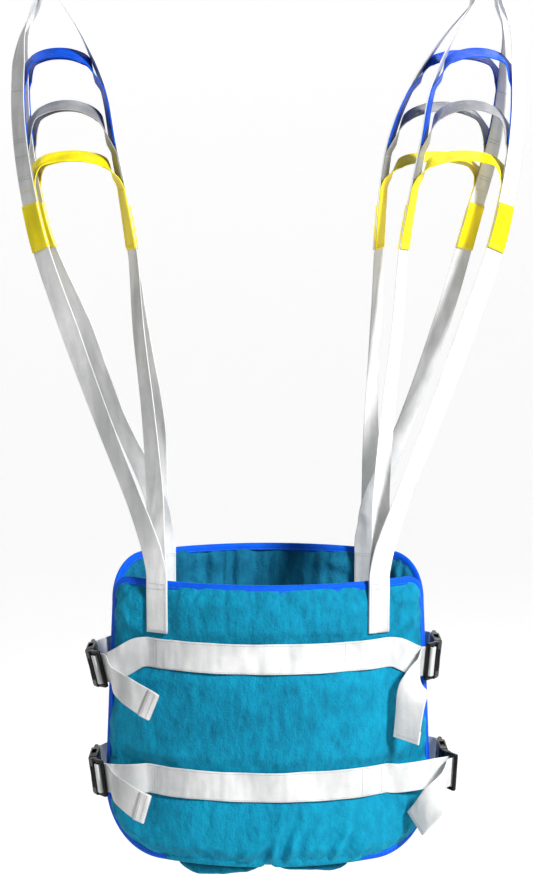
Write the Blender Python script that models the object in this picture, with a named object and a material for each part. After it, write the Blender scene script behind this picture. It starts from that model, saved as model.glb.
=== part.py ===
"""Padded walking sling: a front and a back torso panel, closed by four side-release
buckles and hung from a spreader bar by four looped webbing straps.

Frame: metres, +Z up, +X across the sling, +Y from the front panel towards the back panel.
The origin is midway between the two points where the strap loops hang on the bar.
"""
import math

import bpy
import bmesh
from mathutils import Matrix, Vector

# ---------------------------------------------------------------- driving dimensions
GAP = 0.0003                # clearance between touching pieces
WEB = 0.0015                # webbing thickness
BELT_WIDTH = 0.040          # horizontal webbing
SLING_WIDTH = 0.030         # suspension webbing
LAYER = WEB + 0.0004        # pitch of two layers of webbing sewn together
LOOP_LAYER = WEB + 0.0012   # pitch of a coloured loop on a rail, which curves and twists

FRONT_Y = -0.120            # foremost point of the front panel's middle surface
FRONT_RADIUS = 0.336        # plan radius of the front panel
BACK_Y = 0.120              # rearmost point of the back panel's middle surface
BACK_RADIUS = 0.300         # plan radius of the back panel's middle
SIDE_RADIUS = 0.180         # plan radius where the back panel turns forward
BACK_TURN = math.radians(30)

COVER = 0.0012              # cover and lining thickness
SEAM = 0.0006               # half the gap between cover and lining at the sewn edge
PAD = 0.0070                # how far the foam lifts each cover from the middle surface
BINDING_WIDTH = 0.010
BINDING_HALF = 0.0032       # half thickness of the bound edge
FACE = SEAM + PAD + COVER   # middle surface to the face of a panel
FACETED = 0.0016            # extra room on a hollow face, whose flat facets stand proud

UPPER_Z = -0.862            # sewn middle of the upper front webbing
LOWER_Z = -1.034

HOOK_X = 0.283              # where the strap loops hang
LOOP_HALF = 0.017           # half the loop's width just under the hook
LOOP_DROP = 0.020

# Buckle, along its own axis (l), across the webbing (w) and through it (t)
LOCK_START = -0.0725        # front end of the ladder lock, before the lock is turned
BAR = 0.005
BAR_HALF = 0.003
LOCK_TURN = math.radians(38)    # the ladder lock's angle to the rest of the plug
TURN_AT = -0.0470
SLOT = 0.0037
LOCK_HALF_WIDTH = 0.0255
SLOT_HALF_WIDTH = 0.0212
BLOCK_END = -0.0440
BLOCK_HALF = 0.0048
SOCKET_HALF = 0.0060
SOCKET_WALL = 0.0019
SOCKET_END = 0.0025
SOCKET_BAR_END = 0.0135
PRONG_W = 0.0170            # how far a prong stands from the buckle's middle
PRONG_END = -0.0120
WINDOW = (-0.0300, -0.0100)
WINDOW_HALF = 0.0034

# name: side, x and z of the buckle's middle, lean of its width away from vertical, and
# whether the plug is clipped in with its lock turned inwards (1) or outwards (-1)
BUCKLES = {
    "upper_left": (-1, -0.2350, -0.896, 13, 1),
    "upper_right": (1, 0.2260, -0.884, 5, 1),
    "lower_left": (-1, -0.2350, -1.046, 7, 1),
    "lower_right": (1, 0.2370, -1.035, 3, -1),
}

# Suspension straps, from the hook down: height, middle, half spread, depth, turn of the
# pair of rails from the sewn base, in degrees
FRONT_ROWS = (
    (-0.020, 0.2830, LOOP_HALF, -0.018, 90),
    (-0.066, 0.2790, 0.0395, -0.018, 90),
    (-0.132, 0.2690, 0.0560, -0.019, 88),
    (-0.200, 0.2620, 0.0605, -0.020, 85),
    (-0.273, 0.2500, 0.0620, -0.021, 80),
    (-0.340, 0.2370, 0.0600, -0.024, 75),
    (-0.443, 0.2150, 0.0470, -0.036, 68),
    (-0.560, 0.1860, 0.0340, -0.056, 56),
    (-0.662, 0.1610, 0.0190, -0.078, 40),
    (-0.722, 0.1500, 0.0050, -0.0925, 27),
)
BACK_LEFT_ROWS = (
    (-0.020, 0.2830, LOOP_HALF, 0.018, 90),
    (-0.066, 0.2800, 0.0385, 0.018, 90),
    (-0.132, 0.2700, 0.0540, 0.019, 88),
    (-0.200, 0.2620, 0.0580, 0.020, 85),
    (-0.273, 0.2510, 0.0590, 0.022, 80),
    (-0.330, 0.2400, 0.0570, 0.026, 75),
    (-0.441, 0.2100, 0.0420, 0.038, 68),
    (-0.574, 0.1770, 0.0310, 0.052, 52),
    (-0.670, 0.1570, 0.0160, 0.062, 8),
    (-0.722, 0.1500, 0.0040, 0.0680, -22),
)
BACK_RIGHT_ROWS = (
    (-0.020, 0.2830, LOOP_HALF, 0.018, 90),
    (-0.066, 0.2700, 0.0420, 0.018, 90),
    (-0.132, 0.2480, 0.0620, 0.019, 88),
    (-0.200, 0.2300, 0.0690, 0.020, 85),
    (-0.293, 0.2120, 0.0620, 0.023, 79),
    (-0.422, 0.1930, 0.0480, 0.036, 70),
    (-0.575, 0.1650, 0.0280, 0.055, 52),
    (-0.670, 0.1480, 0.0160, 0.066, 8),
    (-0.722, 0.1410, 0.0040, 0.0715, -21),
)
BASE_LOW = -0.834           # lower end of the sewn base of each strap
RAIL_STEPS = 16
FACE_TWIST = {"outer": 38, "inner": 12}     # how far each rail turns to face forward

# Coloured loops: lower end of the sewn legs, where they leave the rail, top of the arch
LOOPS = {
    "blue": (-0.203, -0.130, -0.084),
    "grey": (-0.248, -0.212, -0.151),
    "yellow": (-0.338, -0.257, -0.216),
}

COLOURS = {
    "teal_fabric": ((0.010, 0.235, 0.420, 1), 0.85),
    "lining_fabric": ((0.014, 0.160, 0.270, 1), 0.90),
    "foam": ((0.75, 0.75, 0.70, 1), 0.95),
    "blue_binding": ((0.004, 0.070, 0.700, 1), 0.60),
    "webbing": ((0.70, 0.71, 0.72, 1), 0.60),
    "yellow_webbing": ((0.95, 0.72, 0.005, 1), 0.60),
    "grey_webbing": ((0.34, 0.34, 0.34, 1), 0.60),
    "blue_webbing": ((0.006, 0.075, 0.550, 1), 0.55),
    "buckle_plastic": ((0.018, 0.019, 0.018, 1), 0.30),
}


# ---------------------------------------------------------------- scene and materials
def clear_scene():
    for old in list(bpy.data.objects):
        bpy.data.objects.remove(old, do_unlink=True)


def material(name):
    found = bpy.data.materials.get(name)
    if found:
        return found
    colour, roughness = COLOURS[name]
    made = bpy.data.materials.new(name)
    made.use_nodes = True
    shader = made.node_tree.nodes["Principled BSDF"]
    shader.inputs["Base Color"].default_value = colour
    shader.inputs["Roughness"].default_value = roughness
    shader.inputs["Metallic"].default_value = 0.0
    made.diffuse_color = colour
    return made


def add_object(name, mesh, finish, parent=None, origin=None):
    """Link a mesh; with an origin, the mesh is stored about that point."""
    if origin is not None:
        mesh.transform(Matrix.Translation(-origin))
    thing = bpy.data.objects.new(name, mesh)
    mesh.materials.clear()
    mesh.materials.append(material(finish))
    if origin is not None:
        thing.location = origin
    bpy.context.scene.collection.objects.link(thing)
    if parent is not None:
        thing.parent = parent
    return thing


def add_empty(name, location):
    empty = bpy.data.objects.new(name, None)
    empty.location = location
    bpy.context.scene.collection.objects.link(empty)
    return empty


def mesh_from(name, verts, faces):
    shape = bmesh.new()
    made = [shape.verts.new(v) for v in verts]
    for face in faces:
        shape.faces.new([made[i] for i in face])
    bmesh.ops.recalc_face_normals(shape, faces=shape.faces)
    mesh = bpy.data.meshes.new(name)
    shape.to_mesh(mesh)
    shape.free()
    return mesh


def smooth(mesh, degrees=40):
    mesh.shade_smooth()
    mesh.set_sharp_from_angle(angle=math.radians(degrees))


def placed(mesh, matrix):
    """Move a mesh, turning its faces out again where the frame is a mirror image."""
    mesh.transform(matrix)
    if matrix.is_negative:
        mesh.flip_normals()
    return mesh


# ---------------------------------------------------------------- panels
def plan_front(s):
    angle = s / FRONT_RADIUS
    place = Vector((FRONT_RADIUS * math.sin(angle),
                    FRONT_Y + FRONT_RADIUS * (1 - math.cos(angle)), 0))
    return place, Vector((math.sin(angle), -math.cos(angle), 0))


def plan_back(s):
    side = math.copysign(1, s)
    flat = BACK_RADIUS * BACK_TURN
    if abs(s) <= flat:
        angle = abs(s) / BACK_RADIUS
        x = BACK_RADIUS * math.sin(angle)
        drop = BACK_RADIUS * (1 - math.cos(angle))
    else:
        angle = BACK_TURN + (abs(s) - flat) / SIDE_RADIUS
        x = (BACK_RADIUS - SIDE_RADIUS) * math.sin(BACK_TURN) + SIDE_RADIUS * math.sin(angle)
        drop = BACK_RADIUS - (BACK_RADIUS - SIDE_RADIUS) * math.cos(BACK_TURN)
        drop -= SIDE_RADIUS * math.cos(angle)
    return (Vector((side * x, BACK_Y - drop, 0)),
            Vector((side * math.sin(angle), math.cos(angle), 0)))


class Panel:
    """A rounded, slightly tapered outline wrapped round a plan curve."""

    def __init__(self, plan, half_top, half_low, top, bottom, r_top, r_bottom):
        self.plan = plan
        self.half_top, self.half_low = half_top, half_low
        self.top, self.bottom = top, bottom
        self.r_top, self.r_bottom = r_top, r_bottom

    def point(self, s, z, lift=0.0):
        place, outward = self.plan(s)
        return place + outward * lift + Vector((0, 0, z))

    def side(self, inset, steps=3, middle=4):
        """Half width and height down one side, from the top edge to the bottom edge."""
        rows = []
        for i in range(steps + 1):
            angle = math.pi / 2 * (1 - i / steps)
            r = self.r_top - inset
            rows.append((self.half_top - self.r_top + r * math.cos(angle),
                         self.top - self.r_top + r * math.sin(angle)))
        lower = []
        for i in range(steps + 1):
            angle = math.pi / 2 * i / steps
            r = self.r_bottom - inset
            lower.append((self.half_low - self.r_bottom + r * math.cos(angle),
                          self.bottom + self.r_bottom - r * math.sin(angle)))
        start, end = rows[-1], lower[0]
        for i in range(1, middle):
            f = i / middle
            rows.append((start[0] + (end[0] - start[0]) * f, start[1] + (end[1] - start[1]) * f))
        return rows + lower

    def columns(self, half, count=12, edge=0.016):
        """Positions across one row: one narrow cell at each edge, even ones between."""
        inner = half - edge
        middle = [-inner + 2 * inner * i / (count - 2) for i in range(count - 1)]
        return [-half] + middle + [half]


def sheet(name, panel, low, high, inset=BINDING_WIDTH, skip=0):
    """Closed sheet between two lifts, each a function of how full the pad is there."""
    rows = panel.side(inset)
    grid = []
    for i, (half, z) in enumerate(rows):
        edge_row = min(i, len(rows) - 1 - i)
        line = []
        for j, s in enumerate(panel.columns(half)):
            edge_column = min(j, len(panel.columns(half)) - 1 - j)
            fullness = (0.0, 0.55, 0.85, 1.0)[min(edge_row, 3)] if edge_column > 1 else 0.55
            if edge_row == 0 or edge_column == 0:
                fullness = 0.0
            line.append((s, z, fullness))
        grid.append(line)
    if skip:
        grid = [line[skip:-skip] for line in grid[skip:-skip]]
    count_i, count_j = len(grid), len(grid[0])
    verts = [panel.point(s, z, lift(full)) for lift in (low, high)
             for line in grid for s, z, full in line]
    layer = count_i * count_j

    def index(side, i, j):
        return side * layer + i * count_j + j

    faces = []
    for side in (0, 1):
        for i in range(count_i - 1):
            for j in range(count_j - 1):
                faces.append([index(side, i, j), index(side, i, j + 1),
                              index(side, i + 1, j + 1), index(side, i + 1, j)])
    rim = [(0, j) for j in range(count_j)] + [(i, count_j - 1) for i in range(1, count_i)]
    rim += [(count_i - 1, j) for j in range(count_j - 2, -1, -1)]
    rim += [(i, 0) for i in range(count_i - 2, 0, -1)]
    for a, b in zip(rim, rim[1:] + rim[:1]):
        faces.append([index(0, *a), index(0, *b), index(1, *b), index(1, *a)])
    mesh = mesh_from(name, verts, faces)
    smooth(mesh, 50)
    return mesh


def binding(name, panel):
    """Closed ring round a panel's edge."""
    def outline(inset):
        right = panel.side(inset)
        half_low, z_low = right[-1]
        half_top, z_top = right[0]
        bottom = [(s, z_low) for s in panel.columns(half_low)[-2:0:-1]]
        left = [(-half, z) for half, z in reversed(right)]
        top = [(s, z_top) for s in panel.columns(half_top)[1:-1]]
        return right + bottom + left + top

    outer, inner = outline(0.0), outline(BINDING_WIDTH - GAP)
    verts = []
    for (s0, z0), (s1, z1) in zip(outer, inner):
        verts += [panel.point(s0, z0, -BINDING_HALF), panel.point(s0, z0, BINDING_HALF),
                  panel.point(s1, z1, BINDING_HALF), panel.point(s1, z1, -BINDING_HALF)]
    count = len(outer)
    faces = []
    for i in range(count):
        k = (i + 1) % count
        for c in range(4):
            d = (c + 1) % 4
            faces.append([4 * i + c, 4 * i + d, 4 * k + d, 4 * k + c])
    mesh = mesh_from(name, verts, faces)
    smooth(mesh, 50)
    return mesh


def build_panel(prefix, panel, parent):
    def face(full):
        return SEAM + PAD * full

    pieces = {
        "cover": sheet(prefix + "_cover", panel, lambda f: face(f), lambda f: face(f) + COVER),
        "lining": sheet(prefix + "_lining", panel, lambda f: -face(f) - COVER, lambda f: -face(f)),
        "foam": sheet(prefix + "_foam", panel, lambda f: GAP - face(f), lambda f: face(f) - GAP,
                      skip=1),
    }
    add_object(prefix + "_cover", pieces["cover"], "teal_fabric", parent)
    add_object(prefix + "_lining", pieces["lining"], "lining_fabric", parent)
    add_object(prefix + "_foam", pieces["foam"], "foam", parent)
    add_object(prefix + "_binding", binding(prefix + "_binding", panel), "blue_binding", parent)


def lower_flap(name, panel, s_start, s_end, low_start, low_end):
    """Soft lobe sewn inside the front panel's lower edge, hanging just below it."""
    top, depth, thickness, count = -1.100, 0.069, 0.006, 7
    near = -(FACE + FACETED + GAP)
    verts = []
    for lift in (near, near - thickness):
        for i in range(count + 1):
            f = i / count
            drop = low_start + (low_end - low_start) * f
            round_end = (1 - abs(2 * f - 1) ** 4) ** 0.5
            z_end = top - depth * (0.55 + 0.45 * round_end) - drop
            s = s_start + (s_end - s_start) * f
            for k in range(4):
                z = top + (z_end - top) * k / 3
                squeeze = 0.35 if (k == 3 or i in (0, count)) else 1.0
                middle = near - thickness / 2
                verts.append(panel.point(s, z, middle + (lift - middle) * squeeze))
    layer = 4 * (count + 1)
    faces = []
    for side in (0, 1):
        for i in range(count):
            for k in range(3):
                a = side * layer + 4 * i + k
                faces.append([a, a + 1, a + 5, a + 4])
    rim = [4 * i for i in range(count + 1)] + [4 * count + k for k in (1, 2, 3)]
    rim += [4 * i + 3 for i in range(count - 1, -1, -1)] + [2, 1]
    for a, b in zip(rim, rim[1:] + rim[:1]):
        faces.append([a, b, layer + b, layer + a])
    mesh = mesh_from(name, verts, faces)
    smooth(mesh, 60)
    return mesh


# ---------------------------------------------------------------- webbing
def spline(knots, spacing):
    """Points and width directions on a centripetal curve through the knots."""
    places = [k[0] for k in knots]
    first = places[0] * 2 - places[1]
    last = places[-1] * 2 - places[-2]
    padded = [first] + places + [last]
    result = []
    for i in range(len(places) - 1):
        p0, p1, p2, p3 = padded[i:i + 4]
        t1 = (p1 - p0).length ** 0.5
        t2 = t1 + (p2 - p1).length ** 0.5
        t3 = t2 + (p3 - p2).length ** 0.5
        steps = max(1, math.ceil((p2 - p1).length / spacing))
        for k in range(steps):
            t = t1 + (t2 - t1) * k / steps
            a1 = p0.lerp(p1, t / t1)
            a2 = p1.lerp(p2, (t - t1) / (t2 - t1))
            a3 = p2.lerp(p3, (t - t2) / (t3 - t2))
            b1 = a1.lerp(a2, t / t2)
            b2 = a2.lerp(a3, (t - t1) / (t3 - t1))
            place = b1.lerp(b2, (t - t1) / (t2 - t1))
            result.append((place, knots[i][1].lerp(knots[i + 1][1], k / steps)))
    result.append(knots[-1])
    return result


def ribbon(name, path, width, thickness=WEB):
    """Flat band along a path of (point, width direction)."""
    verts = []
    for i, (place, across) in enumerate(path):
        before = path[max(i - 1, 0)][0]
        after = path[min(i + 1, len(path) - 1)][0]
        along = (after - before).normalized()
        wide = (across - along * across.dot(along)).normalized()
        normal = along.cross(wide).normalized()
        for a, b in ((-1, -1), (1, -1), (1, 1), (-1, 1)):
            verts.append(place + wide * (a * width / 2) + normal * (b * thickness / 2))
    faces = [[3, 2, 1, 0], [len(verts) - 4 + c for c in range(4)]]
    for i in range(len(path) - 1):
        low = range(4 * i, 4 * i + 4)
        high = range(4 * i + 4, 4 * i + 8)
        faces += [[low[1], low[2], high[2], high[1]], [low[3], low[0], high[0], high[3]]]
        # Both broad faces are split along the same diagonal, which keeps a twisted band even.
        faces += [[low[0], low[1], high[1]], [low[0], high[1], high[0]],
                  [low[2], low[3], high[2]], [low[3], high[3], high[2]]]
    mesh = mesh_from(name, verts, faces)
    smooth(mesh, 50)
    return mesh


UP = Vector((0, 0, 1))


class Buckle:
    """Own axes of one buckle: t outward, l towards the back, w along its width."""

    def __init__(self, side, x, z, lean, way):
        angle = math.radians(lean)
        self.side, self.way = side, way
        self.centre = Vector((x, 0, z))
        self.out = Vector((side * math.cos(angle), 0, -math.sin(angle)))
        self.wide = Vector((side * math.sin(angle), 0, math.cos(angle)))

    def at(self, t, l, w=0.0):
        return self.centre + self.out * t + Vector((0, l, 0)) + self.wide * w

    def matrix(self):
        frame = Matrix.Identity(4)
        for column, axis in enumerate((self.out, Vector((0, 1, 0)), self.wide)):
            for row in range(3):
                frame[row][column] = axis[row]
        frame.translation = self.centre
        return frame


def turned(t, l, way):
    """Where a point of the flat plug lies once its ladder lock is turned."""
    if l >= TURN_AT:
        return t, l
    c, s = math.cos(LOCK_TURN), way * math.sin(LOCK_TURN)
    return t * c + (l - TURN_AT) * s, TURN_AT + (l - TURN_AT) * c - t * s


def lock_thread(buckle):
    """Webbing through the ladder lock, from the load side round the bar to the tail."""
    turn = LOCK_START + BAR + SLOT
    far = turn + BAR * 0.85 + SLOT / 2
    near = LOCK_START + BAR + SLOT / 2
    over = BAR_HALF + GAP + WEB * 0.75
    under = -BAR_HALF - GAP - WEB * 0.75
    lead = under - LAYER - 0.0002
    wrap = [(0.0, far), (over - 0.0008, far - 0.0003), (over + 0.0002, far - 0.0026),
            (over + 0.0002, near + 0.0026), (over - 0.0008, near + 0.0003), (0.0, near)]
    if buckle.way > 0:
        places = [(lead - 0.0010, LOCK_START - 0.004), (lead, LOCK_START + 0.002),
                  (lead, turn - 0.0005),
                  (lead + 0.0006, far - 0.0011), (lead + 0.0026, far - 0.0002)]
        places += wrap
        places += [(under + 0.0016, near - 0.0002), (under + 0.0002, near - 0.0016),
                   (under, LOCK_START + 0.001), (under + 0.0004, LOCK_START - 0.006)]
    else:
        # The webbing meets this lock square on, so it runs straight through the slots.
        places = [(-0.0200, far + 0.0015), (-0.0110, far)] + wrap
        places += [(-0.0060, near), (-0.0130, near - 0.0030)]
    return [(buckle.at(*turned(t, l, buckle.way)), buckle.wide) for t, l in places]


def front_belt(name, panel, z, left, right, tails):
    """One length of webbing: tail, ladder lock, sewn run across the panel, lock, tail."""
    lift = FACE + GAP + WEB / 2
    sewn_half = 0.160
    run = [(panel.point(-sewn_half + 2 * sewn_half * i / 14, z, lift), UP) for i in range(15)]

    def one_side(buckle, tail_knots):
        thread = lock_thread(buckle)
        eased = panel.point(buckle.side * (sewn_half + 0.012), z - 0.002, lift + 0.0028)
        middle = eased.lerp(thread[0][0], 0.55) + Vector((0, -0.003, 0))
        lead = [(eased, UP), (middle, (UP + buckle.wide).normalized())]
        return lead + thread + tail_knots

    left_end = one_side(left, tails[0])
    right_end = one_side(right, tails[1])
    knots = list(reversed(left_end)) + run + right_end
    return ribbon(name, spline(knots, 0.022), BELT_WIDTH)


def tail(points):
    """Free end of a belt: places and width directions, from the lock outwards."""
    return [(Vector(place), Vector(across).normalized()) for place, across in points]


def back_belt(name, panel, z, left, right):
    """Webbing round the back panel, its ends folded round the bars of the sockets."""
    lift = FACE + GAP + WEB / 2
    reach = 0.200

    def fold(buckle):
        inner = -(0.003 + GAP + WEB * 0.75)
        slot = SOCKET_END + 0.0025
        places = [
            (inner, 0.022), (inner, 0.0100), (inner + 0.0006, slot + 0.0012), (inner + 0.0024, slot),
            (0.0, slot - 0.0001), (0.0026, slot), (-inner - 0.0002, slot + 0.0018),
            (-inner, 0.0105), (-inner - 0.0005, SOCKET_BAR_END + 0.0015),
            (inner + LAYER + 0.0014, SOCKET_BAR_END + 0.0070),
            (inner + LAYER + 0.0002, SOCKET_BAR_END + 0.0110),
        ]
        return [(buckle.at(t, l), buckle.wide) for t, l in places]

    run = [(panel.point(-reach + 2 * reach * i / 12, z, lift), UP) for i in range(13)]
    knots = list(reversed(fold(left))) + run + fold(right)
    return ribbon(name, spline(knots, 0.022), BELT_WIDTH)


# ---------------------------------------------------------------- suspension straps
class Ladder:
    """One looped strap: two rails that turn and close onto a sewn base."""

    def __init__(self, side, rows, panel, base_s, lifts):
        self.side, self.rows = side, rows
        self.panel, self.base_s, self.lifts = panel, base_s, lifts

    def row(self, z):
        """Middle, half spread, depth and turn at a height, by a smooth curve of the rows."""
        rows = self.rows
        i = 0
        while i < len(rows) - 2 and z < rows[i + 1][0]:
            i += 1
        a, b, c, d = (rows[max(i - 1, 0)], rows[i], rows[i + 1], rows[min(i + 2, len(rows) - 1)])
        f = (z - b[0]) / (c[0] - b[0])
        values = []
        for k in range(1, 5):
            m0 = (c[k] - a[k]) / (c[0] - a[0]) * (c[0] - b[0])
            m1 = (d[k] - b[k]) / (d[0] - b[0]) * (c[0] - b[0])
            values.append((2 * f ** 3 - 3 * f ** 2 + 1) * b[k] + (f ** 3 - 2 * f ** 2 + f) * m0
                          + (3 * f ** 2 - 2 * f ** 3) * c[k] + (f ** 3 - f ** 2) * m1)
        return values

    def rail(self, leg, z):
        """Point on a rail, its width direction and the direction into the loop."""
        middle, spread, depth, turn = self.row(z)
        angle = math.radians(turn)
        sign = 1 if leg == "outer" else -1
        place = Vector((self.side * (middle + sign * spread * math.sin(angle)),
                        depth - sign * spread * math.cos(angle), z))
        lift = min(1.0, max(0.0, (-0.045 - z) / 0.09)) * min(1.0, max(0.0, (z + 0.66) / 0.22))
        face = angle - math.radians(FACE_TWIST[leg]) * lift
        across = Vector((math.cos(face), self.side * math.sin(face), 0))
        inward = Vector((-sign * self.side * math.sin(face), sign * math.cos(face), 0))
        return place, across, inward

    def base(self, leg):
        lift = self.lifts[leg]
        heights = (BASE_LOW, -0.800, self.panel.top - 0.006, self.panel.top + 0.010)
        _, outward = self.panel.plan(self.base_s)
        across = Vector((abs(outward.y), -outward.x * math.copysign(1, outward.y), 0))
        return [(self.panel.point(self.base_s, z, lift), across) for z in heights]

    def strap(self, name):
        low, high = self.rows[-1][0], self.rows[0][0]
        heights = {low + (high - low) * i / RAIL_STEPS for i in range(RAIL_STEPS + 1)}
        for legs in LOOPS.values():
            heights |= {legs[0], (legs[0] + legs[1]) / 2, legs[1]}
        heights = sorted(heights)
        up = self.base("outer") + [self.rail("outer", z)[:2] for z in heights]
        down = [self.rail("inner", z)[:2] for z in reversed(heights)]
        down += list(reversed(self.base("inner")))
        over = []
        seat = LOOP_DROP - WEB / 2
        for i in range(1, 5):
            angle = math.pi * i / 5
            height = seat * math.sin(angle) / math.sin(math.pi * 2 / 5)
            place = Vector((self.side * (HOOK_X + LOOP_HALF * math.cos(angle)), self.rows[0][3],
                            height - LOOP_DROP))
            over.append((place, Vector((0, self.side, 0))))
        return ribbon(name, up + over + down, SLING_WIDTH)

    def loop(self, name, low, leave, top):
        """Coloured loop: legs sewn inside the rails, an arch free between them."""
        def leg(which):
            knots = []
            for z in (low, (low + leave) / 2, leave):
                place, across, inward = self.rail(which, z)
                knots.append((place + inward * LOOP_LAYER, across))
            place, across, inward = self.rail(which, leave + 0.012)
            knots.append((place + inward * 0.0060, across))
            return knots

        outer, inner = leg("outer"), leg("inner")
        a, b = outer[-1][0], inner[-1][0]
        depth = self.rows[0][3]
        along_y = Vector((0, self.side, 0))
        arch = []
        for f, rise in ((0.13, 0.70), (0.30, 0.93), (0.50, 1.0), (0.70, 0.93), (0.87, 0.70)):
            place = a.lerp(b, f)
            place.z += (top - place.z) * rise
            place.y += (depth - place.y) * min(1.0, 4 * min(f, 1 - f))
            arch.append((place, along_y))
        knots = outer + arch + list(reversed(inner))
        return ribbon(name, spline(knots, 0.018), SLING_WIDTH)


# ---------------------------------------------------------------- buckles
def box_mesh(name, low, high):
    size = Vector(high) - Vector(low)
    shape = bmesh.new()
    bmesh.ops.create_cube(shape, size=1.0)
    bmesh.ops.scale(shape, vec=size, verts=shape.verts)
    bmesh.ops.translate(shape, vec=(Vector(low) + Vector(high)) / 2, verts=shape.verts)
    mesh = bpy.data.meshes.new(name)
    shape.to_mesh(mesh)
    shape.free()
    return mesh


def combine(name, solids, cutters, bevel):
    """Exact union of boxes less other boxes, with softened edges, as one mesh."""
    base = bpy.data.objects.new(name + "_blank", box_mesh(name, *solids[0]))
    bpy.context.scene.collection.objects.link(base)
    helpers = []
    for operation, boxes in (("UNION", solids[1:]), ("DIFFERENCE", cutters)):
        for low, high in boxes:
            helper = bpy.data.objects.new(name + "_tool", box_mesh(name + "_tool", low, high))
            helper.hide_render = True
            helper.display_type = "WIRE"
            bpy.context.scene.collection.objects.link(helper)
            change = base.modifiers.new(operation, "BOOLEAN")
            change.operation = operation
            change.object = helper
            helpers.append(helper)
    if bevel:
        soften = base.modifiers.new("Bevel", "BEVEL")
        soften.width = bevel
        soften.segments = 1
        soften.limit_method = "ANGLE"
    graph = bpy.context.evaluated_depsgraph_get()
    mesh = bpy.data.meshes.new_from_object(base.evaluated_get(graph))
    for helper in helpers:
        bpy.data.objects.remove(helper, do_unlink=True)
    bpy.data.objects.remove(base, do_unlink=True)
    shape = bmesh.new()
    shape.from_mesh(mesh)
    bmesh.ops.triangulate(shape, faces=shape.faces)
    shape.to_mesh(mesh)
    shape.free()
    smooth(mesh, 35)
    return mesh


def latch_mesh(way):
    """Plug half: turned ladder lock with two slots, a base block and a guide tongue."""
    w = LOCK_HALF_WIDTH
    first = LOCK_START + BAR
    second = first + SLOT + BAR * 0.85
    block = second + SLOT
    mesh = combine(
        "latch",
        [((-BAR_HALF, LOCK_START, -w), (BAR_HALF, block + 0.002, w)),
         ((-BLOCK_HALF, block, -w), (BLOCK_HALF, BLOCK_END, w)),
         ((-0.002, BLOCK_END - 0.002, -0.004), (0.002, -0.018, 0.004))],
        [((-0.02, first, -SLOT_HALF_WIDTH), (0.02, first + SLOT, SLOT_HALF_WIDTH)),
         ((-0.02, second, -SLOT_HALF_WIDTH), (0.02, second + SLOT, SLOT_HALF_WIDTH))],
        0.0007)
    for vertex in mesh.vertices:
        vertex.co.x, vertex.co.y = turned(vertex.co.x, vertex.co.y, way)
    return mesh


def socket_mesh():
    """Receiving half: a flat sleeve with side windows and a bar for the back webbing."""
    w = LOCK_HALF_WIDTH
    mouth = BLOCK_END + GAP
    inner_w = w - 0.0030
    inner_t = SOCKET_HALF - SOCKET_WALL
    slot = (SOCKET_END + 0.0003, SOCKET_END + 0.0052)
    return combine(
        "socket",
        [((-SOCKET_HALF, mouth, -w), (SOCKET_HALF, SOCKET_END - 0.0015, w)),
         ((-0.003, SOCKET_END - 0.004, -w), (0.003, SOCKET_BAR_END, w))],
        [((-inner_t, mouth - 0.01, -inner_w), (inner_t, -0.0050, inner_w)),
         ((-WINDOW_HALF, WINDOW[0], -0.04), (WINDOW_HALF, WINDOW[1], 0.04)),
         ((-0.02, slot[0], -SLOT_HALF_WIDTH), (0.02, slot[1], SLOT_HALF_WIDTH))],
        0.0007)


def prong_mesh(name, side):
    """Springy arm whose barb shows in the socket's side window."""
    start = BLOCK_END + 2 * GAP
    half = 0.0027
    profile = [
        (start, PRONG_W - 0.0040), (start, PRONG_W), (WINDOW[0] + 0.0012, PRONG_W + 0.0022),
        (WINDOW[0] + 0.0012, PRONG_W + 0.0078), (WINDOW[1] - 0.0060, PRONG_W + 0.0064),
        (PRONG_END, PRONG_W + 0.0010), (PRONG_END, PRONG_W - 0.0040),
    ]
    verts = [(t, l, side * w) for t in (-half, half) for l, w in profile]
    count = len(profile)
    faces = [list(range(count)), list(range(2 * count - 1, count - 1, -1))]
    faces += [[i, (i + 1) % count, count + (i + 1) % count, count + i] for i in range(count)]
    mesh = mesh_from(name, verts, faces)
    smooth(mesh, 30)
    return mesh


# ---------------------------------------------------------------- assembly
FRONT = Panel(plan_front, 0.2230, 0.2400, -0.766, -1.147, 0.030, 0.090)
BACK = Panel(plan_back, 0.2460, 0.2380, -0.758, -1.140, 0.060, 0.080)


def tails():
    """Free ends of the four belts, from the ladder locks, named like the buckles."""
    return {
        "upper_left": tail([((-0.2040, -0.0900, -0.901), (-0.20, 0.05, 1)),
                            ((-0.1880, -0.1090, -0.908), (-0.14, 0.08, 1)),
                            ((-0.1680, -0.1220, -0.917), (-0.18, 0.05, 1)),
                            ((-0.1490, -0.1290, -0.926), (-0.26, 0.0, 1))]),
        "lower_left": tail([((-0.2040, -0.0900, -1.049), (-0.06, 0.05, 1)),
                            ((-0.1900, -0.1080, -1.053), (0.02, 0.05, 1)),
                            ((-0.1750, -0.1210, -1.059), (0.12, 0.0, 1)),
                            ((-0.1590, -0.1290, -1.064), (0.18, 0.0, 1))]),
        "upper_right": tail([((0.1985, -0.0950, -0.888), (-0.02, 0.05, 1)),
                             ((0.1930, -0.1100, -0.898), (-0.45, 0.15, 1)),
                             ((0.1870, -0.1190, -0.916), (-0.95, 0.10, 0.50)),
                             ((0.1835, -0.1230, -0.941), (-1, 0.10, 0.10)),
                             ((0.1800, -0.1250, -0.972), (-1, 0.12, -0.05))]),
        "lower_right": tail([((0.2330, -0.0930, -1.043), (0.0, 0.05, 1)),
                             ((0.2240, -0.1090, -1.054), (-0.30, 0.10, 1)),
                             ((0.2090, -0.1210, -1.072), (-0.46, 0.10, 0.95)),
                             ((0.1950, -0.1280, -1.091), (-0.42, 0.10, 1))]),
    }


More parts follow.
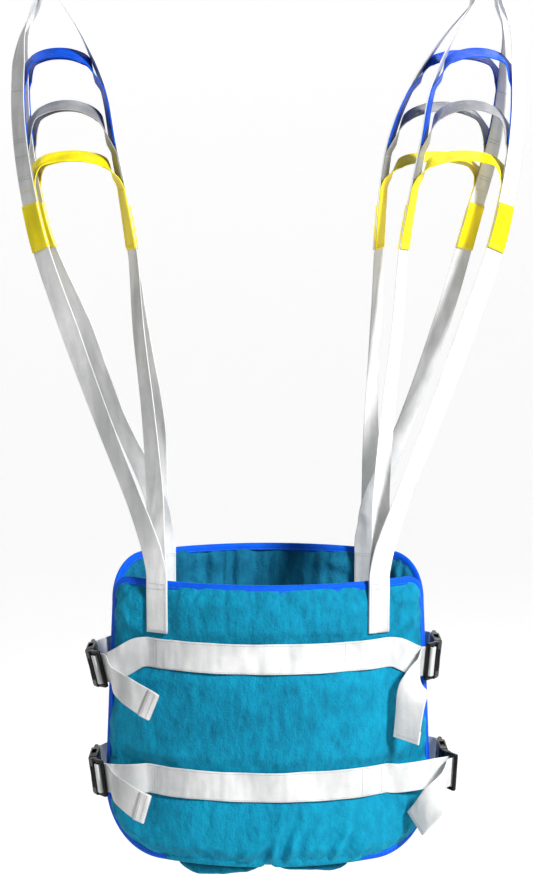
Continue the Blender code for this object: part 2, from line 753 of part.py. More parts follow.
def build():
    clear_scene()
    release = add_empty("back_half_release_axis", (0.0, BLOCK_END, UPPER_Z))
    build_panel("front_panel", FRONT, None)
    build_panel("back_panel", BACK, release)
    release_offset = Matrix.Translation(-release.location)

    add_object("front_lower_flap_left", lower_flap("front_lower_flap_left", FRONT,
                                                   -0.131, -0.006, 0.0, -0.003), "teal_fabric")
    add_object("front_lower_flap_right", lower_flap("front_lower_flap_right", FRONT,
                                                    0.006, 0.118, -0.002, 0.0), "teal_fabric")

    buckles = {name: Buckle(*spec) for name, spec in BUCKLES.items()}
    free_ends = tails()
    for level, z in (("upper", UPPER_Z), ("lower", LOWER_Z)):
        left, right = buckles[level + "_left"], buckles[level + "_right"]
        ends = (free_ends[level + "_left"], free_ends[level + "_right"])
        name = level + "_front_webbing"
        add_object(name, front_belt(name, FRONT, z, left, right, ends), "webbing")
        name = level + "_back_webbing"
        middle = (left.centre.z + right.centre.z) / 2
        add_object(name, back_belt(name, BACK, middle, left, right), "webbing", release)

    latches, socket = {way: latch_mesh(way) for way in (1, -1)}, socket_mesh()
    for name, buckle in buckles.items():
        frame = buckle.matrix()
        latch = placed(latches[buckle.way].copy(), frame)
        add_object(name + "_latch", latch, "buckle_plastic")
        add_object(name + "_socket", placed(socket.copy(), frame), "buckle_plastic", release)
        for label, side in (("upper", 1), ("lower", -1)):
            mesh = placed(prong_mesh(name + "_prong", side), frame)
            root = buckle.at(0.0, BLOCK_END + 2 * GAP, side * (PRONG_W - 0.0020))
            add_object(f"{name}_{label}_prong", mesh, "buckle_plastic", None, root)

    front_lift, back_lift = FACE + GAP + WEB / 2, FACE + GAP + FACETED + WEB / 2
    front_lifts = {"inner": front_lift, "outer": front_lift + LAYER}
    back_lifts = {"inner": -back_lift, "outer": -back_lift - LAYER}
    ladders = {
        "front_left": (Ladder(-1, FRONT_ROWS, FRONT, -0.1450, front_lifts), None),
        "front_right": (Ladder(1, FRONT_ROWS, FRONT, 0.1450, front_lifts), None),
        "back_left": (Ladder(-1, BACK_LEFT_ROWS, BACK, -0.1560, back_lifts), release),
        "back_right": (Ladder(1, BACK_RIGHT_ROWS, BACK, 0.1470, back_lifts), release),
    }
    for name, (ladder, parent) in ladders.items():
        add_object(name + "_sling_webbing", ladder.strap(name + "_sling_webbing"), "webbing", parent)
        for colour, (low, leave, top) in LOOPS.items():
            loop = f"{name}_{colour}_loop"
            add_object(loop, ladder.loop(loop, low, leave, top), colour + "_webbing", parent)

    for thing in bpy.data.objects:
        if thing.parent is release:
            thing.data.transform(release_offset)


build()
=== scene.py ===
import math

import bpy
import bmesh
from mathutils import Matrix, Vector, noise


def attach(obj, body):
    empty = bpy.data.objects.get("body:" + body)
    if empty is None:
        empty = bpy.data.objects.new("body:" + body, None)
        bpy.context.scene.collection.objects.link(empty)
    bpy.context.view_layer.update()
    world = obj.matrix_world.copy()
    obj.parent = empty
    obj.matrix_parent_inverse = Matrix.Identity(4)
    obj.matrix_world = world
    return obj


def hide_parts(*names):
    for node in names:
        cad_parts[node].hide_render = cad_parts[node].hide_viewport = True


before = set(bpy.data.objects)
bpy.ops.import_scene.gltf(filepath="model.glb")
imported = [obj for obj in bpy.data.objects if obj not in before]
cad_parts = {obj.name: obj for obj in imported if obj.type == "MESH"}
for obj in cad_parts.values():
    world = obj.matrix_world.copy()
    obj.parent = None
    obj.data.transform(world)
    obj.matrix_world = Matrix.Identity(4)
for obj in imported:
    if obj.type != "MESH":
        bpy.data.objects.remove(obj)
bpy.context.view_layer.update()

# ---- dimensions of the frame
GAP = 0.0003
WEB = 0.0015                # webbing thickness
BELT_WIDTH = 0.040
SLING_WIDTH = 0.030
LAYER = WEB + 0.0004        # pitch of two sewn layers

FRONT_Y, FRONT_RADIUS = -0.120, 0.336
BACK_Y, BACK_RADIUS, SIDE_RADIUS = 0.120, 0.300, 0.180
BACK_TURN = math.radians(30)
SEWN = 0.0018               # half thickness of cover and lining at the sewn edge
PAD = 0.0070                # how far the foam lifts each cover
FACE = SEWN + PAD           # middle surface to the face of a panel
FACETED = 0.0016            # extra room on the hollow face of the back panel
WEB_LIFT = FACE + GAP + WEB / 2     # middle surface of a panel to the middle of sewn webbing

SEWN_HALF = 0.160           # half length of the sewn run of a front belt
BACK_REACH = 0.200
BASE_LOW = -0.834
HOOK_X, LOOP_HALF, LOOP_DROP = 0.283, 0.017, 0.020
FACE_TWIST = {"outer": 38, "inner": 12}
ARCH_TILT = 27              # lean of the coloured arches towards the front, in degrees

LOCK_START, BAR, BAR_HALF, SLOT = -0.0725, 0.005, 0.003, 0.0037
LOCK_TURN, TURN_AT = math.radians(38), -0.0470     # the ladder lock's angle to the plug
LOCK_HALF_WIDTH, SLOT_HALF_WIDTH = 0.0255, 0.0212
BLOCK_END, BLOCK_HALF = -0.0440, 0.0048
SOCKET_HALF, SOCKET_WALL, SOCKET_END, SOCKET_BAR_END = 0.0060, 0.0019, 0.0025, 0.0135
PRONG_W, PRONG_END = 0.0170, -0.0120
WINDOW, WINDOW_HALF = (-0.0300, -0.0100), 0.0034

# name: side, x and z of the buckle's middle, lean of its width away from vertical, and
# whether the plug is clipped in with its lock turned inwards (1) or outwards (-1)
BUCKLES = {
    "upper_left": (-1, -0.2350, -0.896, 13, 1),
    "upper_right": (1, 0.2260, -0.884, 5, 1),
    "lower_left": (-1, -0.2350, -1.046, 7, 1),
    "lower_right": (1, 0.2370, -1.035, 3, -1),
}

# Suspension straps, from the hook down: height, middle, half spread, depth, turn of the
# pair of rails from the sewn base, in degrees
FRONT_ROWS = (
    (-0.02, 0.283, LOOP_HALF, -0.018, 90),
    (-0.066, 0.279, 0.0395, -0.018, 90),
    (-0.132, 0.269, 0.056, -0.019, 88),
    (-0.2, 0.262, 0.0605, -0.02, 85),
    (-0.273, 0.25, 0.062, -0.021, 80),
    (-0.34, 0.237, 0.06, -0.024, 75),
    (-0.443, 0.215, 0.047, -0.036, 68),
    (-0.56, 0.186, 0.034, -0.056, 56),
    (-0.662, 0.161, 0.019, -0.078, 40),
    (-0.722, 0.15, 0.005, -0.0925, 27),
)
BACK_LEFT_ROWS = (
    (-0.02, 0.283, LOOP_HALF, 0.018, 90),
    (-0.066, 0.28, 0.0385, 0.018, 90),
    (-0.132, 0.27, 0.054, 0.019, 88),
    (-0.2, 0.262, 0.058, 0.02, 85),
    (-0.273, 0.251, 0.059, 0.022, 80),
    (-0.33, 0.24, 0.057, 0.026, 75),
    (-0.441, 0.21, 0.042, 0.038, 68),
    (-0.574, 0.177, 0.031, 0.052, 52),
    (-0.67, 0.157, 0.016, 0.062, 8),
    (-0.722, 0.15, 0.004, 0.068, -22),
)
BACK_RIGHT_ROWS = (
    (-0.02, 0.283, LOOP_HALF, 0.018, 90),
    (-0.066, 0.27, 0.042, 0.018, 90),
    (-0.132, 0.248, 0.062, 0.019, 88),
    (-0.2, 0.23, 0.069, 0.02, 85),
    (-0.293, 0.212, 0.062, 0.023, 79),
    (-0.422, 0.193, 0.048, 0.036, 70),
    (-0.575, 0.165, 0.028, 0.055, 52),
    (-0.67, 0.148, 0.016, 0.066, 8),
    (-0.722, 0.141, 0.004, 0.0715, -21),
)

# Coloured loops: lower end of the sewn legs, where they leave the rail, top of the arch
LOOPS = {
    "blue": (-0.203, -0.130, -0.084),
    "grey": (-0.248, -0.212, -0.151),
    "yellow": (-0.338, -0.257, -0.216),
}

# ---- fabric detail
CELL = 0.0042               # size of the pads' cells before subdivision
PAD_INSET = 0.0035          # the pad's rim lies this far inside the binding
CROWN = 0.026               # distance from the edge at which a pad is full
PATH_STEP = 0.004           # spacing of the cross-sections of webbing
STITCH, STITCH_PITCH, THREAD = 0.0024, 0.0033, 0.00038
THREAD_LIFT = WEB * 0.43 + THREAD * 0.4     # middle of a band to the middle of a stitch
HEM = 0.012                 # folded end of a belt
LOOSE = 0.06                # how firmly free fabric is held in the simulation
MOST_SLIDE, MOST_RISE = 0.002, 0.0045       # limits of what the simulation moves
CLOTH = dict(quality=4, mass=0.04, vertex_group_mass="held", pin_stiffness=1.0,
             tension_stiffness=18, compression_stiffness=18, shear_stiffness=6,
             bending_stiffness=0.6, shrink_min=-0.045, use_pressure=True,
             uniform_pressure_force=1.5)
UP = Vector((0, 0, 1))


# ---- materials
def colour(value):
    """Linear colour of a six-digit screen colour, of one grey or of three numbers."""
    if isinstance(value, str):
        parts = [int(value[i:i + 2], 16) / 255 for i in (0, 2, 4)]
        value = [p / 12.92 if p <= 0.04045 else ((p + 0.055) / 1.055) ** 2.4 for p in parts]
    elif not isinstance(value, tuple):
        value = [value] * 3
    return [*value, 1]


class Finish:
    """A procedural material while its nodes are being laid out."""

    def __init__(self, name, **constants):
        self.material = bpy.data.materials.new(name)
        self.material.use_nodes = True
        self.tree = self.material.node_tree
        self.shader = self.tree.nodes["Principled BSDF"]
        for socket, value in constants.items():
            self.shader.inputs[socket.replace("_", " ")].default_value = value

    def feed(self, socket, value):
        if isinstance(value, bpy.types.NodeSocket):
            self.tree.links.new(value, socket)
        else:
            socket.default_value = value

    def node(self, kind, inputs, **values):
        """New node, with its input sockets set or linked by name or number."""
        made = self.tree.nodes.new("ShaderNode" + kind)
        for key, value in values.items():
            setattr(made, key, value)
        for key, value in inputs.items():
            self.feed(made.inputs[key], value)
        return made

    def math(self, operation, *values):
        return self.node("Math", dict(enumerate(values)), operation=operation).outputs[0]

    def linear(self, value, factor, start):
        return self.math("MULTIPLY_ADD", value, factor, start)

    def ridges(self, value, pitch):
        """Rounded ridges of a given pitch, from 0 to 1."""
        turns = self.math("MULTIPLY", value, math.pi / pitch)
        return self.math("ABSOLUTE", self.math("SINE", turns))

    def axes(self, kind):
        """Parts of a coordinate in metres: Object, or UV for across and along a band."""
        return self.node("SeparateXYZ", {0: self.node("TexCoord", {}).outputs[kind]}).outputs

    def noise(self, scale, detail, roughness, stretch=(1, 1, 1)):
        where = self.node("TexCoord", {}).outputs["Object"]
        where = self.node("Mapping", {"Vector": where, "Scale": stretch}).outputs[0]
        return self.node("TexNoise", {"Vector": where, "Scale": scale, "Detail": detail,
                                      "Roughness": roughness}).outputs[0]

    def ramp(self, value, *stops):
        made = self.node("ValToRGB", {0: value})
        points = made.color_ramp.elements
        while len(points) < len(stops):
            points.new(0.5)
        for point, (at, shade) in zip(points, stops):
            point.position = at
            point.color = colour(shade)
        return made.outputs[0]

    def multiply(self, a, b, factor=1.0):
        return self.node("Mix", {"Factor": factor, "A": a, "B": b}, data_type="RGBA",
                         blend_type="MULTIPLY").outputs["Result"]

    def finish(self, shade, roughness, *bumps):
        """Connect the colour, the roughness and the bumps, each (height, depth in metres)."""
        below = {}
        for height, depth in bumps:
            made = self.node("Bump", {"Distance": depth, "Height": height, **below})
            below = {"Normal": made.outputs[0]}
        for socket, value in {"Base Color": shade, "Roughness": roughness, **below}.items():
            self.feed(self.shader.inputs[socket], value)
        return self.material


def velour(name, dark, middle, light, sheen, painted_shade=None):
    """Short-pile knitted fabric: brushed patches, fine fuzz and small creases. An optional pair of
    heights paints the colour darker upwards between them, a painted shadow under a fold."""
    made = Finish(name, Sheen_Weight=0.10, Sheen_Roughness=0.4, Sheen_Tint=colour(sheen),
                  Specular_IOR_Level=0.15)
    patches = made.noise(11, 5, 0.62, (1, 1, 0.7))
    strokes = made.noise(90, 4, 0.65, (1, 1, 0.45))
    nap = made.math("MULTIPLY", made.math("ADD", patches, strokes), 0.5)
    shade = made.ramp(nap, (0.32, dark), (0.50, middle), (0.68, light))
    # painted shadow: between the two heights the colour is painted darker towards the upper one,
    # where a fold above shades the fabric
    if painted_shade:
        rise = made.math("SUBTRACT", made.axes("Object")[2], painted_shade[0])
        rise = made.math("DIVIDE", rise, painted_shade[1] - painted_shade[0])
        shade = made.multiply(shade, made.ramp(rise, (0, 1), (1, (0.16, 0.20, 0.24))))
    fuzz = made.noise(1900, 2, 0.6)
    pile = made.ramp(fuzz, (0.30, 0.82), (0.70, 1.12))
    creases = made.noise(38, 4, 0.6, (1, 1, 0.6))
    return made.finish(made.multiply(shade, pile), made.linear(strokes, 0.22, 0.72),
                       (creases, 0.0055), (made.noise(320, 3, 0.6), 0.0010), (fuzz, 0.0004))


def woven(name, base, shade, worn, gloss, rib=0.0012, pick=0.0009):
    """Flat-woven webbing: ribs along it, picks across it, and swells along its length, bumped and
    painted lighter and darker as a painted satin sheen.
    """
    made = Finish(name, Sheen_Weight=0.02, Sheen_Roughness=0.35, Specular_IOR_Level=gloss)
    across, along, _ = made.axes("UV")
    column = made.math("FLOOR", made.math("DIVIDE", across, rib))
    row = made.math("ADD", made.math("DIVIDE", along, pick), made.math("MULTIPLY", column, 0.5))
    weave = made.math("MULTIPLY", made.ridges(across, rib),
                      made.linear(made.ridges(row, 1), 0.55, 0.45))
    # painted shade: the valleys between the threads are painted in the darker colour
    threads = made.ramp(weave, (0.05, shade), (0.55, base))
    handling = made.noise(24, 4, 0.6)
    soft = made.ramp(handling, (0.30, worn), (0.62, 1))
    # painted sheen: the swells paint the colour lighter and darker along the band, the highlights and
    # shade of satin; they also bump it and set its roughness
    swell = made.noise(30, 2, 0.5, (1, 1, 0.28))
    painted_sheen = made.ramp(swell, (0.38, (0.83, 0.83, 0.84)), (0.60, 1.10))
    return made.finish(made.multiply(made.multiply(threads, soft, 0.55), painted_sheen),
                       made.linear(swell, -0.36, 0.56),
                       (swell, 0.0060), (handling, 0.0012), (weave, 0.00016))


def tape(name, base, shade):
    """Smooth folded bias tape with a fine diagonal twill."""
    made = Finish(name, Specular_IOR_Level=0.12)
    across, along, _ = made.axes("UV")
    twill = made.ridges(made.math("ADD", across, along), 0.0009)
    worn = made.noise(55, 3, 0.6)
    # painted shade: the valleys of the twill are painted in the darker colour
    threads = made.ramp(twill, (0.05, shade), (0.6, base))
    soft = made.ramp(worn, (0.3, (0.80, 0.82, 0.86)), (0.7, (1.1, 1.1, 1.06)))
    return made.finish(made.multiply(threads, soft, 0.8), made.linear(worn, 0.2, 0.42),
                       (worn, 0.0010), (twill, 0.00018))


def moulded(name, base, light):
    """Injection-moulded plastic with a spark-eroded grain and scuffed high spots."""
    made = Finish(name, Specular_IOR_Level=0.24)
    scuffs = made.noise(180, 5, 0.65, (1, 0.35, 1))
    return made.finish(made.ramp(scuffs, (0.45, base), (0.80, light)),
                       made.linear(scuffs, 0.22, 0.24),
                       (scuffs, 0.0002), (made.noise(1400, 2, 0.5), 0.00006))


def twisted_thread(name, base, shade):
    """Sewing thread with a slight unevenness."""
    made = Finish(name, Sheen_Weight=0.2)
    fibre = made.noise(900, 2, 0.5)
    return made.finish(made.ramp(fibre, (0.35, shade), (0.65, base)),
                       made.linear(fibre, 0.2, 0.5), (fibre, 0.0002))


FINISHES = {
    "teal_cover": velour("teal_velour", "046888", "068aae", "0ea0c4", "50d8e8"),
    # the lobes' finish is painted a little darker overall, with a painted shadow along its top where
    # the rolled edge shades it
    "teal_fold_painted_shadow": velour("teal_velour_painted_shadow", "046080", "0680a4", "0e9abe", "50d0e0",
                        (-1.1565, -1.1505)),
    "teal_lining": velour("teal_lining_velour", "065674", "0e6a8c", "1884a6", "50b0c8"),
    "blue_binding": tape("blue_bias_tape", "0062ee", "0042c4"),
    "webbing": woven("silver_white_webbing", "ebebea", "cfd1d1", "dadcdc", 0.45),
    "yellow_webbing": woven("yellow_webbing", "fff218", "f2cc08", "fff4c8", 0.12),
    "grey_webbing": woven("grey_webbing", "aaabaa", "7f8180", "d6d6d6", 0.12),
    "blue_webbing": woven("blue_webbing", "005ee4", "0038a8", "c8d4f4", 0.10),
    "buckle_plastic": moulded("black_buckle_plastic", "070808", "171a19"),
}
THREADS = {
    "white": twisted_thread("silver_thread", "c4c5c7", "8e9092"),
    "blue": twisted_thread("blue_thread", "4a86ff", "1d55d8"),
    "yellow": twisted_thread("yellow_thread", "fff07a", "d8b010"),
    "teal": twisted_thread("teal_thread", "2aa6c6", "0f6c86"),
}


# ---- making pieces
def add_object(name, data):
    thing = bpy.data.objects.new(name, data)
    bpy.context.scene.collection.objects.link(thing)
    return thing


def add_piece(name, mesh, body, slot, nodes=(), finishes=None):
    piece = add_object(name, mesh)
    for finish in finishes or [FINISHES[slot]]:
        mesh.materials.append(finish)
    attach(piece, body)
    if nodes:
        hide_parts(*nodes)
    return piece


def mesh_of(name, verts, faces, uvs=None, marks=None):
    """Closed mesh with outward faces; uvs are per vertex and marks are material indices."""
    mesh = bpy.data.meshes.new(name)
    mesh.from_pydata([tuple(v) for v in verts], [], faces)
    if marks:
        mesh.polygons.foreach_set("material_index", marks)
    if uvs:
        layer = mesh.uv_layers.new(name="UVMap")
        for loop in mesh.loops:
            layer.data[loop.index].uv = uvs[loop.vertex_index]
    shape = bmesh.new()
    shape.from_mesh(mesh)
    bmesh.ops.recalc_face_normals(shape, faces=shape.faces)
    shape.to_mesh(mesh)
    shape.free()
    mesh.shade_smooth()
    return mesh


def skin(first, rings, size, closed=False, caps=True):
    """Faces over rings of points, capped at both ends unless they close into a loop."""
    last = first + (rings - 1) * size
    faces = []
    if caps and not closed:
        faces = [[first + k for k in range(size)], [last + k for k in reversed(range(size))]]
    for i in range(rings if closed else rings - 1):
        a, n = first + i * size, first + (i + 1) % rings * size
        for k in range(size):
            b = (k + 1) % size
            faces.append([a + k, n + k, n + b, a + b])
    return faces


def two_sheets(lines, width):
    """Faces of two equal grids joined round their rim, and which sheet each face is on."""
    layer = lines * width
    faces = []
    for first in (0, layer):
        for i in range(lines - 1):
            for j in range(width - 1):
                a = first + i * width + j
                quad = [a, a + 1, a + width + 1, a + width]
                faces.append(quad if first else quad[::-1])
    marks = [0] * (len(faces) // 2) + [1] * (len(faces) // 2)
    rim = list(range(width)) + [i * width + width - 1 for i in range(1, lines)]
    rim += [layer - width + j for j in range(width - 2, -1, -1)]
    rim += [i * width for i in range(lines - 2, 0, -1)]
    faces += [[a, b, layer + b, layer + a] for a, b in zip(rim, rim[1:] + rim[:1])]
    return faces, marks + [0] * len(rim)


def subdivide(piece):
    smooth = piece.modifiers.new("Subdivision", "SUBSURF")
    smooth.levels = smooth.render_levels = 1


def clamp(value):
    return min(1.0, max(0.0, value))


def eased(value):
    value = clamp(value)
    return value * value * (3 - 2 * value)


def ripple(value, seed, scale=1.0):
    """Smooth uneven wave between about -1 and 1."""
    return 1.8 * noise.noise(Vector((value * scale, seed * 7.31, seed * 3.17)))


class Stitches:
    """Short stitches gathered into one closed mesh."""

    SIDES = 5
    RINGS = ((0.0, 0.35), (0.16, 1.0), (0.84, 1.0), (1.0, 0.35))

    def __init__(self, name):
        self.name, self.verts, self.faces = name, [], []

    def one(self, start, end, normal):
        along = end - start
        side = along.cross(normal).normalized()
        self.faces += skin(len(self.verts), len(self.RINGS), self.SIDES)
        for f, size in self.RINGS:
            for k in range(self.SIDES):
                angle = 2 * math.pi * k / self.SIDES
                bulge = THREAD * size * (math.cos(angle) * side + math.sin(angle) * normal)
                self.verts.append(start + along * f + bulge)

    def run(self, points, normals, pitch=STITCH_PITCH, length=STITCH):
        """Stitches at an even pitch along a line of points with surface normals."""
        travelled = 0.0
        wanted = pitch / 2
        for i in range(len(points) - 1):
            span = (points[i + 1] - points[i]).length
            while wanted < travelled + span:
                f = (wanted - travelled) / span
                middle = points[i].lerp(points[i + 1], f)
                along = (points[i + 1] - points[i]).normalized() * length / 2
                normal = normals[i].lerp(normals[i + 1], f).normalized()
                self.one(middle - along, middle + along, normal)
                wanted += pitch
            travelled += span

    def done(self, body, slot, thread):
        mesh = mesh_of(self.name, self.verts, self.faces)
        return add_piece(self.name, mesh, body, slot, finishes=[THREADS[thread]])


# ---- panels
def plan_front(s):
    angle = s / FRONT_RADIUS
    place = Vector((FRONT_RADIUS * math.sin(angle),
                    FRONT_Y + FRONT_RADIUS * (1 - math.cos(angle)), 0))
    return place, Vector((math.sin(angle), -math.cos(angle), 0))


def plan_back(s):
    side = math.copysign(1, s)
    flat = BACK_RADIUS * BACK_TURN
    if abs(s) <= flat:
        angle = abs(s) / BACK_RADIUS
        x = BACK_RADIUS * math.sin(angle)
        drop = BACK_RADIUS * (1 - math.cos(angle))
    else:
        angle = BACK_TURN + (abs(s) - flat) / SIDE_RADIUS
        x = (BACK_RADIUS - SIDE_RADIUS) * math.sin(BACK_TURN) + SIDE_RADIUS * math.sin(angle)
        drop = BACK_RADIUS - (BACK_RADIUS - SIDE_RADIUS) * math.cos(BACK_TURN)
        drop -= SIDE_RADIUS * math.cos(angle)
    return (Vector((side * x, BACK_Y - drop, 0)),
            Vector((side * math.sin(angle), math.cos(angle), 0)))


class Panel:
    """A rounded, slightly tapered outline wrapped round a plan curve."""

    def __init__(self, plan, half_top, half_low, top, bottom, r_top, r_bottom):
        self.plan = plan
        self.half_top, self.half_low = half_top, half_low
        self.top, self.bottom = top, bottom
        self.r_top, self.r_bottom = r_top, r_bottom
        self.middle, self.high = (top + bottom) / 2, (top - bottom) / 2

    def point(self, s, z, lift=0.0):
        place, outward = self.plan(s)
        return place + outward * lift + Vector((0, 0, z))

    def half(self, z):
        low, high = self.bottom + self.r_bottom, self.top - self.r_top
        f = clamp((z - low) / (high - low))
        return self.half_low + (self.half_top - self.half_low) * f

    def margin(self, s, z):
        """Distance inside the outline."""
        r = self.r_top if z > self.middle else self.r_bottom
        a = abs(s) - self.half(z) + r
        b = abs(z - self.middle) - self.high + r
        return r - math.hypot(max(a, 0), max(b, 0)) - min(max(a, b), 0)

    def grid(self, inset, cell):
        """Even cells that follow the rounded corners, as rows of (s, z)."""
        high = self.high - inset
        rows = round(2 * high / cell)
        columns = round(2 * self.half_low / cell)
        result = []
        for i in range(rows + 1):
            row_z = self.middle + high * (1 - 2 * i / rows)
            half = self.half(row_z) - inset
            r = (self.r_top if row_z > self.middle else self.r_bottom) - inset
            line = []
            for j in range(columns + 1):
                s, z = half * (2 * j / columns - 1), row_z
                a = (abs(s) - half + r) / r
                b = (abs(z - self.middle) - high + r) / r
                if a > 0 and b > 0:
                    s = math.copysign(half - r + r * a * math.sqrt(1 - b * b / 2), s)
                    drop = high - r + r * b * math.sqrt(1 - a * a / 2)
                    z = self.middle + math.copysign(drop, row_z - self.middle)
                line.append((s, z))
            result.append(line)
        return result

    def outline(self, pitch):
        """Points round the edge, clockwise from the middle of the top, with outward normals."""
        corners = [(1, self.half_top, self.top, self.r_top, 90, 0),
                   (1, self.half_low, self.bottom, self.r_bottom, 0, -90),
                   (-1, self.half_low, self.bottom, self.r_bottom, -90, 0),
                   (-1, self.half_top, self.top, self.r_top, 0, 90)]
        line = [(0.0, self.top, 0.0, 1.0)]
        for side, half, edge, r, start, end in corners:
            centre = edge - r if edge > self.middle else edge + r
            steps = math.ceil(r * math.pi / 2 / pitch)
            for k in range(steps + 1):
                angle = math.radians(start + (end - start) * k / steps)
                x, y = math.cos(angle), math.sin(angle)
                line.append((side * (half - r + r * x), centre + r * y, side * x, y))
        line.append(line[0])
        result = []
        for a, b in zip(line, line[1:]):
            steps = max(1, math.ceil(math.hypot(b[0] - a[0], b[1] - a[1]) / pitch))
            for k in range(steps):
                f = k / steps
                result.append(tuple(a[n] + (b[n] - a[n]) * f for n in range(4)))
        return result


FRONT = Panel(plan_front, 0.2230, 0.2400, -0.766, -1.147, 0.030, 0.090)
BACK = Panel(plan_back, 0.2460, 0.2380, -0.758, -1.140, 0.060, 0.080)
FRONT_BELTS = {"upper": -0.862, "lower": -1.034}
BACK_BELTS = {level: (BUCKLES[level + "_left"][2] + BUCKLES[level + "_right"][2]) / 2
              for level in ("upper", "lower")}
FRONT_BASES = {-1: -0.145, 1: 0.145}
BACK_BASES = {-1: -0.156, 1: 0.147}


def strip(reach, z, width=BELT_WIDTH):
    """Rectangle of a panel under a sewn belt."""
    return (-reach, reach, z - width / 2, z + width / 2)


def base(s, top):
    """Rectangle of a panel under the sewn base of a suspension strap."""
    return (s - SLING_WIDTH / 2, s + SLING_WIDTH / 2, BASE_LOW, top)


def away(rectangles, s, z):
    """Distance to the nearest rectangle."""
    return min((math.hypot(max(a - s, 0, s - b), max(c - z, 0, z - d))
                for a, b, c, d in rectangles), default=1.0)


# Folds drawn in by the sewing along the front panel's lower edge: where a fold starts,
# its lean from vertical in degrees, its length, width and height
FRONT_FOLDS = (
    (-0.046, -1.150, 34, 0.072, 0.0044, 0.0062),
    (-0.032, -1.150, 31, 0.088, 0.0044, 0.0076),
    (-0.070, -1.150, 38, 0.045, 0.0050, 0.0040),
    (0.002, -1.152, 7, 0.092, 0.0060, 0.0090),
    (0.023, -1.152, 4, 0.078, 0.0060, 0.0056),
    (0.058, -1.152, 13, 0.056, 0.0052, 0.0040),
    (0.080, -1.151, 16, 0.076, 0.0044, 0.0078),
    (0.104, -1.149, 33, 0.056, 0.0044, 0.0066),
)


def folds(table, s, z):
    """Height of the sewn-in folds at a point of a panel."""
    total = 0.0
    for s0, z0, lean, length, width, height in table:
        angle = math.radians(lean)
        ds, dz = s - s0, z - z0
        along = ds * math.sin(angle) + dz * math.cos(angle)
        aside = ds * math.cos(angle) - dz * math.sin(angle) - 0.12 * along * along / length
        if -0.01 < along < length:
            spread = width * (0.85 + 0.45 * along / length)
            fade = eased((along + 0.01) / 0.02) * eased((length - along) / (0.6 * length))
            ridge = math.exp(-(aside / spread) ** 2)
            valley = math.exp(-((aside - 1.9 * spread) / spread) ** 2)
            total += height * fade * (ridge - 0.75 * valley)
    return total


def front_cover_shape(s, z):
    wave = 0.0012 * ripple(s + 0.4 * z, 1, 26) + 0.0013 * ripple(z - 0.3 * s, 2, 22)
    pucker = 0.0016 * math.exp(-(FRONT.top - z) / 0.030) * ripple(s, 3, 80)
    pucker += 0.0012 * math.exp(-(z - FRONT.bottom) / 0.030) * ripple(s, 4, 90)
    return wave + pucker + 1.25 * folds(FRONT_FOLDS, s, z)


def back_lining_shape(s, z):
    """Soft gathers that hang from the top binding, on the face towards the wearer."""
    drop = BACK.top - z
    amount = 0.0085 * math.exp(-drop / 0.085) * eased((drop + 0.006) / 0.020)
    bent = s + 0.004 * math.sin(drop * 34 + s * 9)
    gather = ripple(bent, 5, 62) + 0.55 * ripple(bent, 6, 130)
    return amount * gather + 0.0008 * ripple(s + z, 7, 20)


def plain_shape(seed):
    def shape(s, z):
        return 0.0009 * ripple(s + 0.5 * z, seed, 24) + 0.0010 * ripple(z - 0.3 * s, seed + 1, 20)
    return shape


def simulate(thing, pins):
    """Let the stuffed pad settle: held where it is sewn, a little too much cloth elsewhere."""
    scene = bpy.context.scene
    group = thing.vertex_groups.new(name="held")
    for weight in sorted(set(pins)):
        group.add([i for i, w in enumerate(pins) if w == weight], weight, "REPLACE")
    cloth = thing.modifiers.new("Cloth", "CLOTH")
    for key, value in CLOTH.items():
        setattr(cloth.settings, key, value)
    cloth.settings.effector_weights.gravity = 0
    cloth.collision_settings.use_collision = False
    for number in range(1, 21):
        scene.frame_set(number)
    graph = bpy.context.evaluated_depsgraph_get()
    moved = [v.co.copy() for v in thing.evaluated_get(graph).data.vertices]
    thing.modifiers.remove(cloth)
    thing.vertex_groups.remove(group)
    scene.frame_set(1)
    return moved


def build_pad(name, panel, body, shapes, held, nodes):
    """Stuffed pad between the bindings, with a cover face and a lining face."""
    grid = panel.grid(PAD_INSET, CELL)
    spots, rest, pins = [], [], []
    for side in (1, -1):
        for line in grid:
            for s, z in line:
                inside, near = panel.margin(s, z) - PAD_INSET, away(held[side], s, z)
                full = eased(inside / CROWN) ** 0.8
                spots.append((side, s, z, full, near))
                rest.append(panel.point(s, z, side * (SEWN + PAD * full)))
                pins.append(1.0 if inside < 0.004 or near <= 0.0 else LOOSE)
    faces, marks = two_sheets(len(grid), len(grid[0]))
    mesh = mesh_of(name, rest, faces, marks=marks)
    finishes = [FINISHES["teal_cover"], FINISHES["teal_lining"]]
    pad = add_piece(name, mesh, body, "teal_cover", nodes, finishes)

    moved = simulate(pad, pins)
    for vertex, start, end, (side, s, z, full, near) in zip(mesh.vertices, rest, moved, spots):
        outward = panel.plan(s)[1] * side
        shift = end - start
        rise = shift.dot(outward)
        slide = shift - outward * rise
        if slide.length > MOST_SLIDE:
            slide *= MOST_SLIDE / slide.length
        rise = MOST_RISE * math.tanh(rise / MOST_RISE) + shapes[side](s, z) * full ** 0.6
        free = eased(near / 0.018)
        rise = min(rise, 0.0) * (0.25 + 0.75 * free) + max(rise, 0.0) * free
        vertex.co = start + slide + outward * (rise + 0.0022 * full * free)
    mesh.update()
    subdivide(pad)


# Cross-section of the folded tape from its front lip round the edge to its back lip:
# distance in from the edge, and height above the middle surface
TAPE_SECTION = ((0.0100, 0.0030), (0.0099, 0.0037), (0.0092, 0.0040), (0.0080, 0.0037),
                (0.0066, 0.0038), (0.0045, 0.0036), (0.0024, 0.0029), (0.0009, 0.0019),
                (0.0001, 0.0007))
ROLL_SECTION = ((0.0150, 0.0036), (0.0138, 0.0046), (0.0115, 0.0052), (0.0085, 0.0054),
                (0.0055, 0.0050), (0.0028, 0.0040), (0.0010, 0.0026), (0.0001, 0.0009))


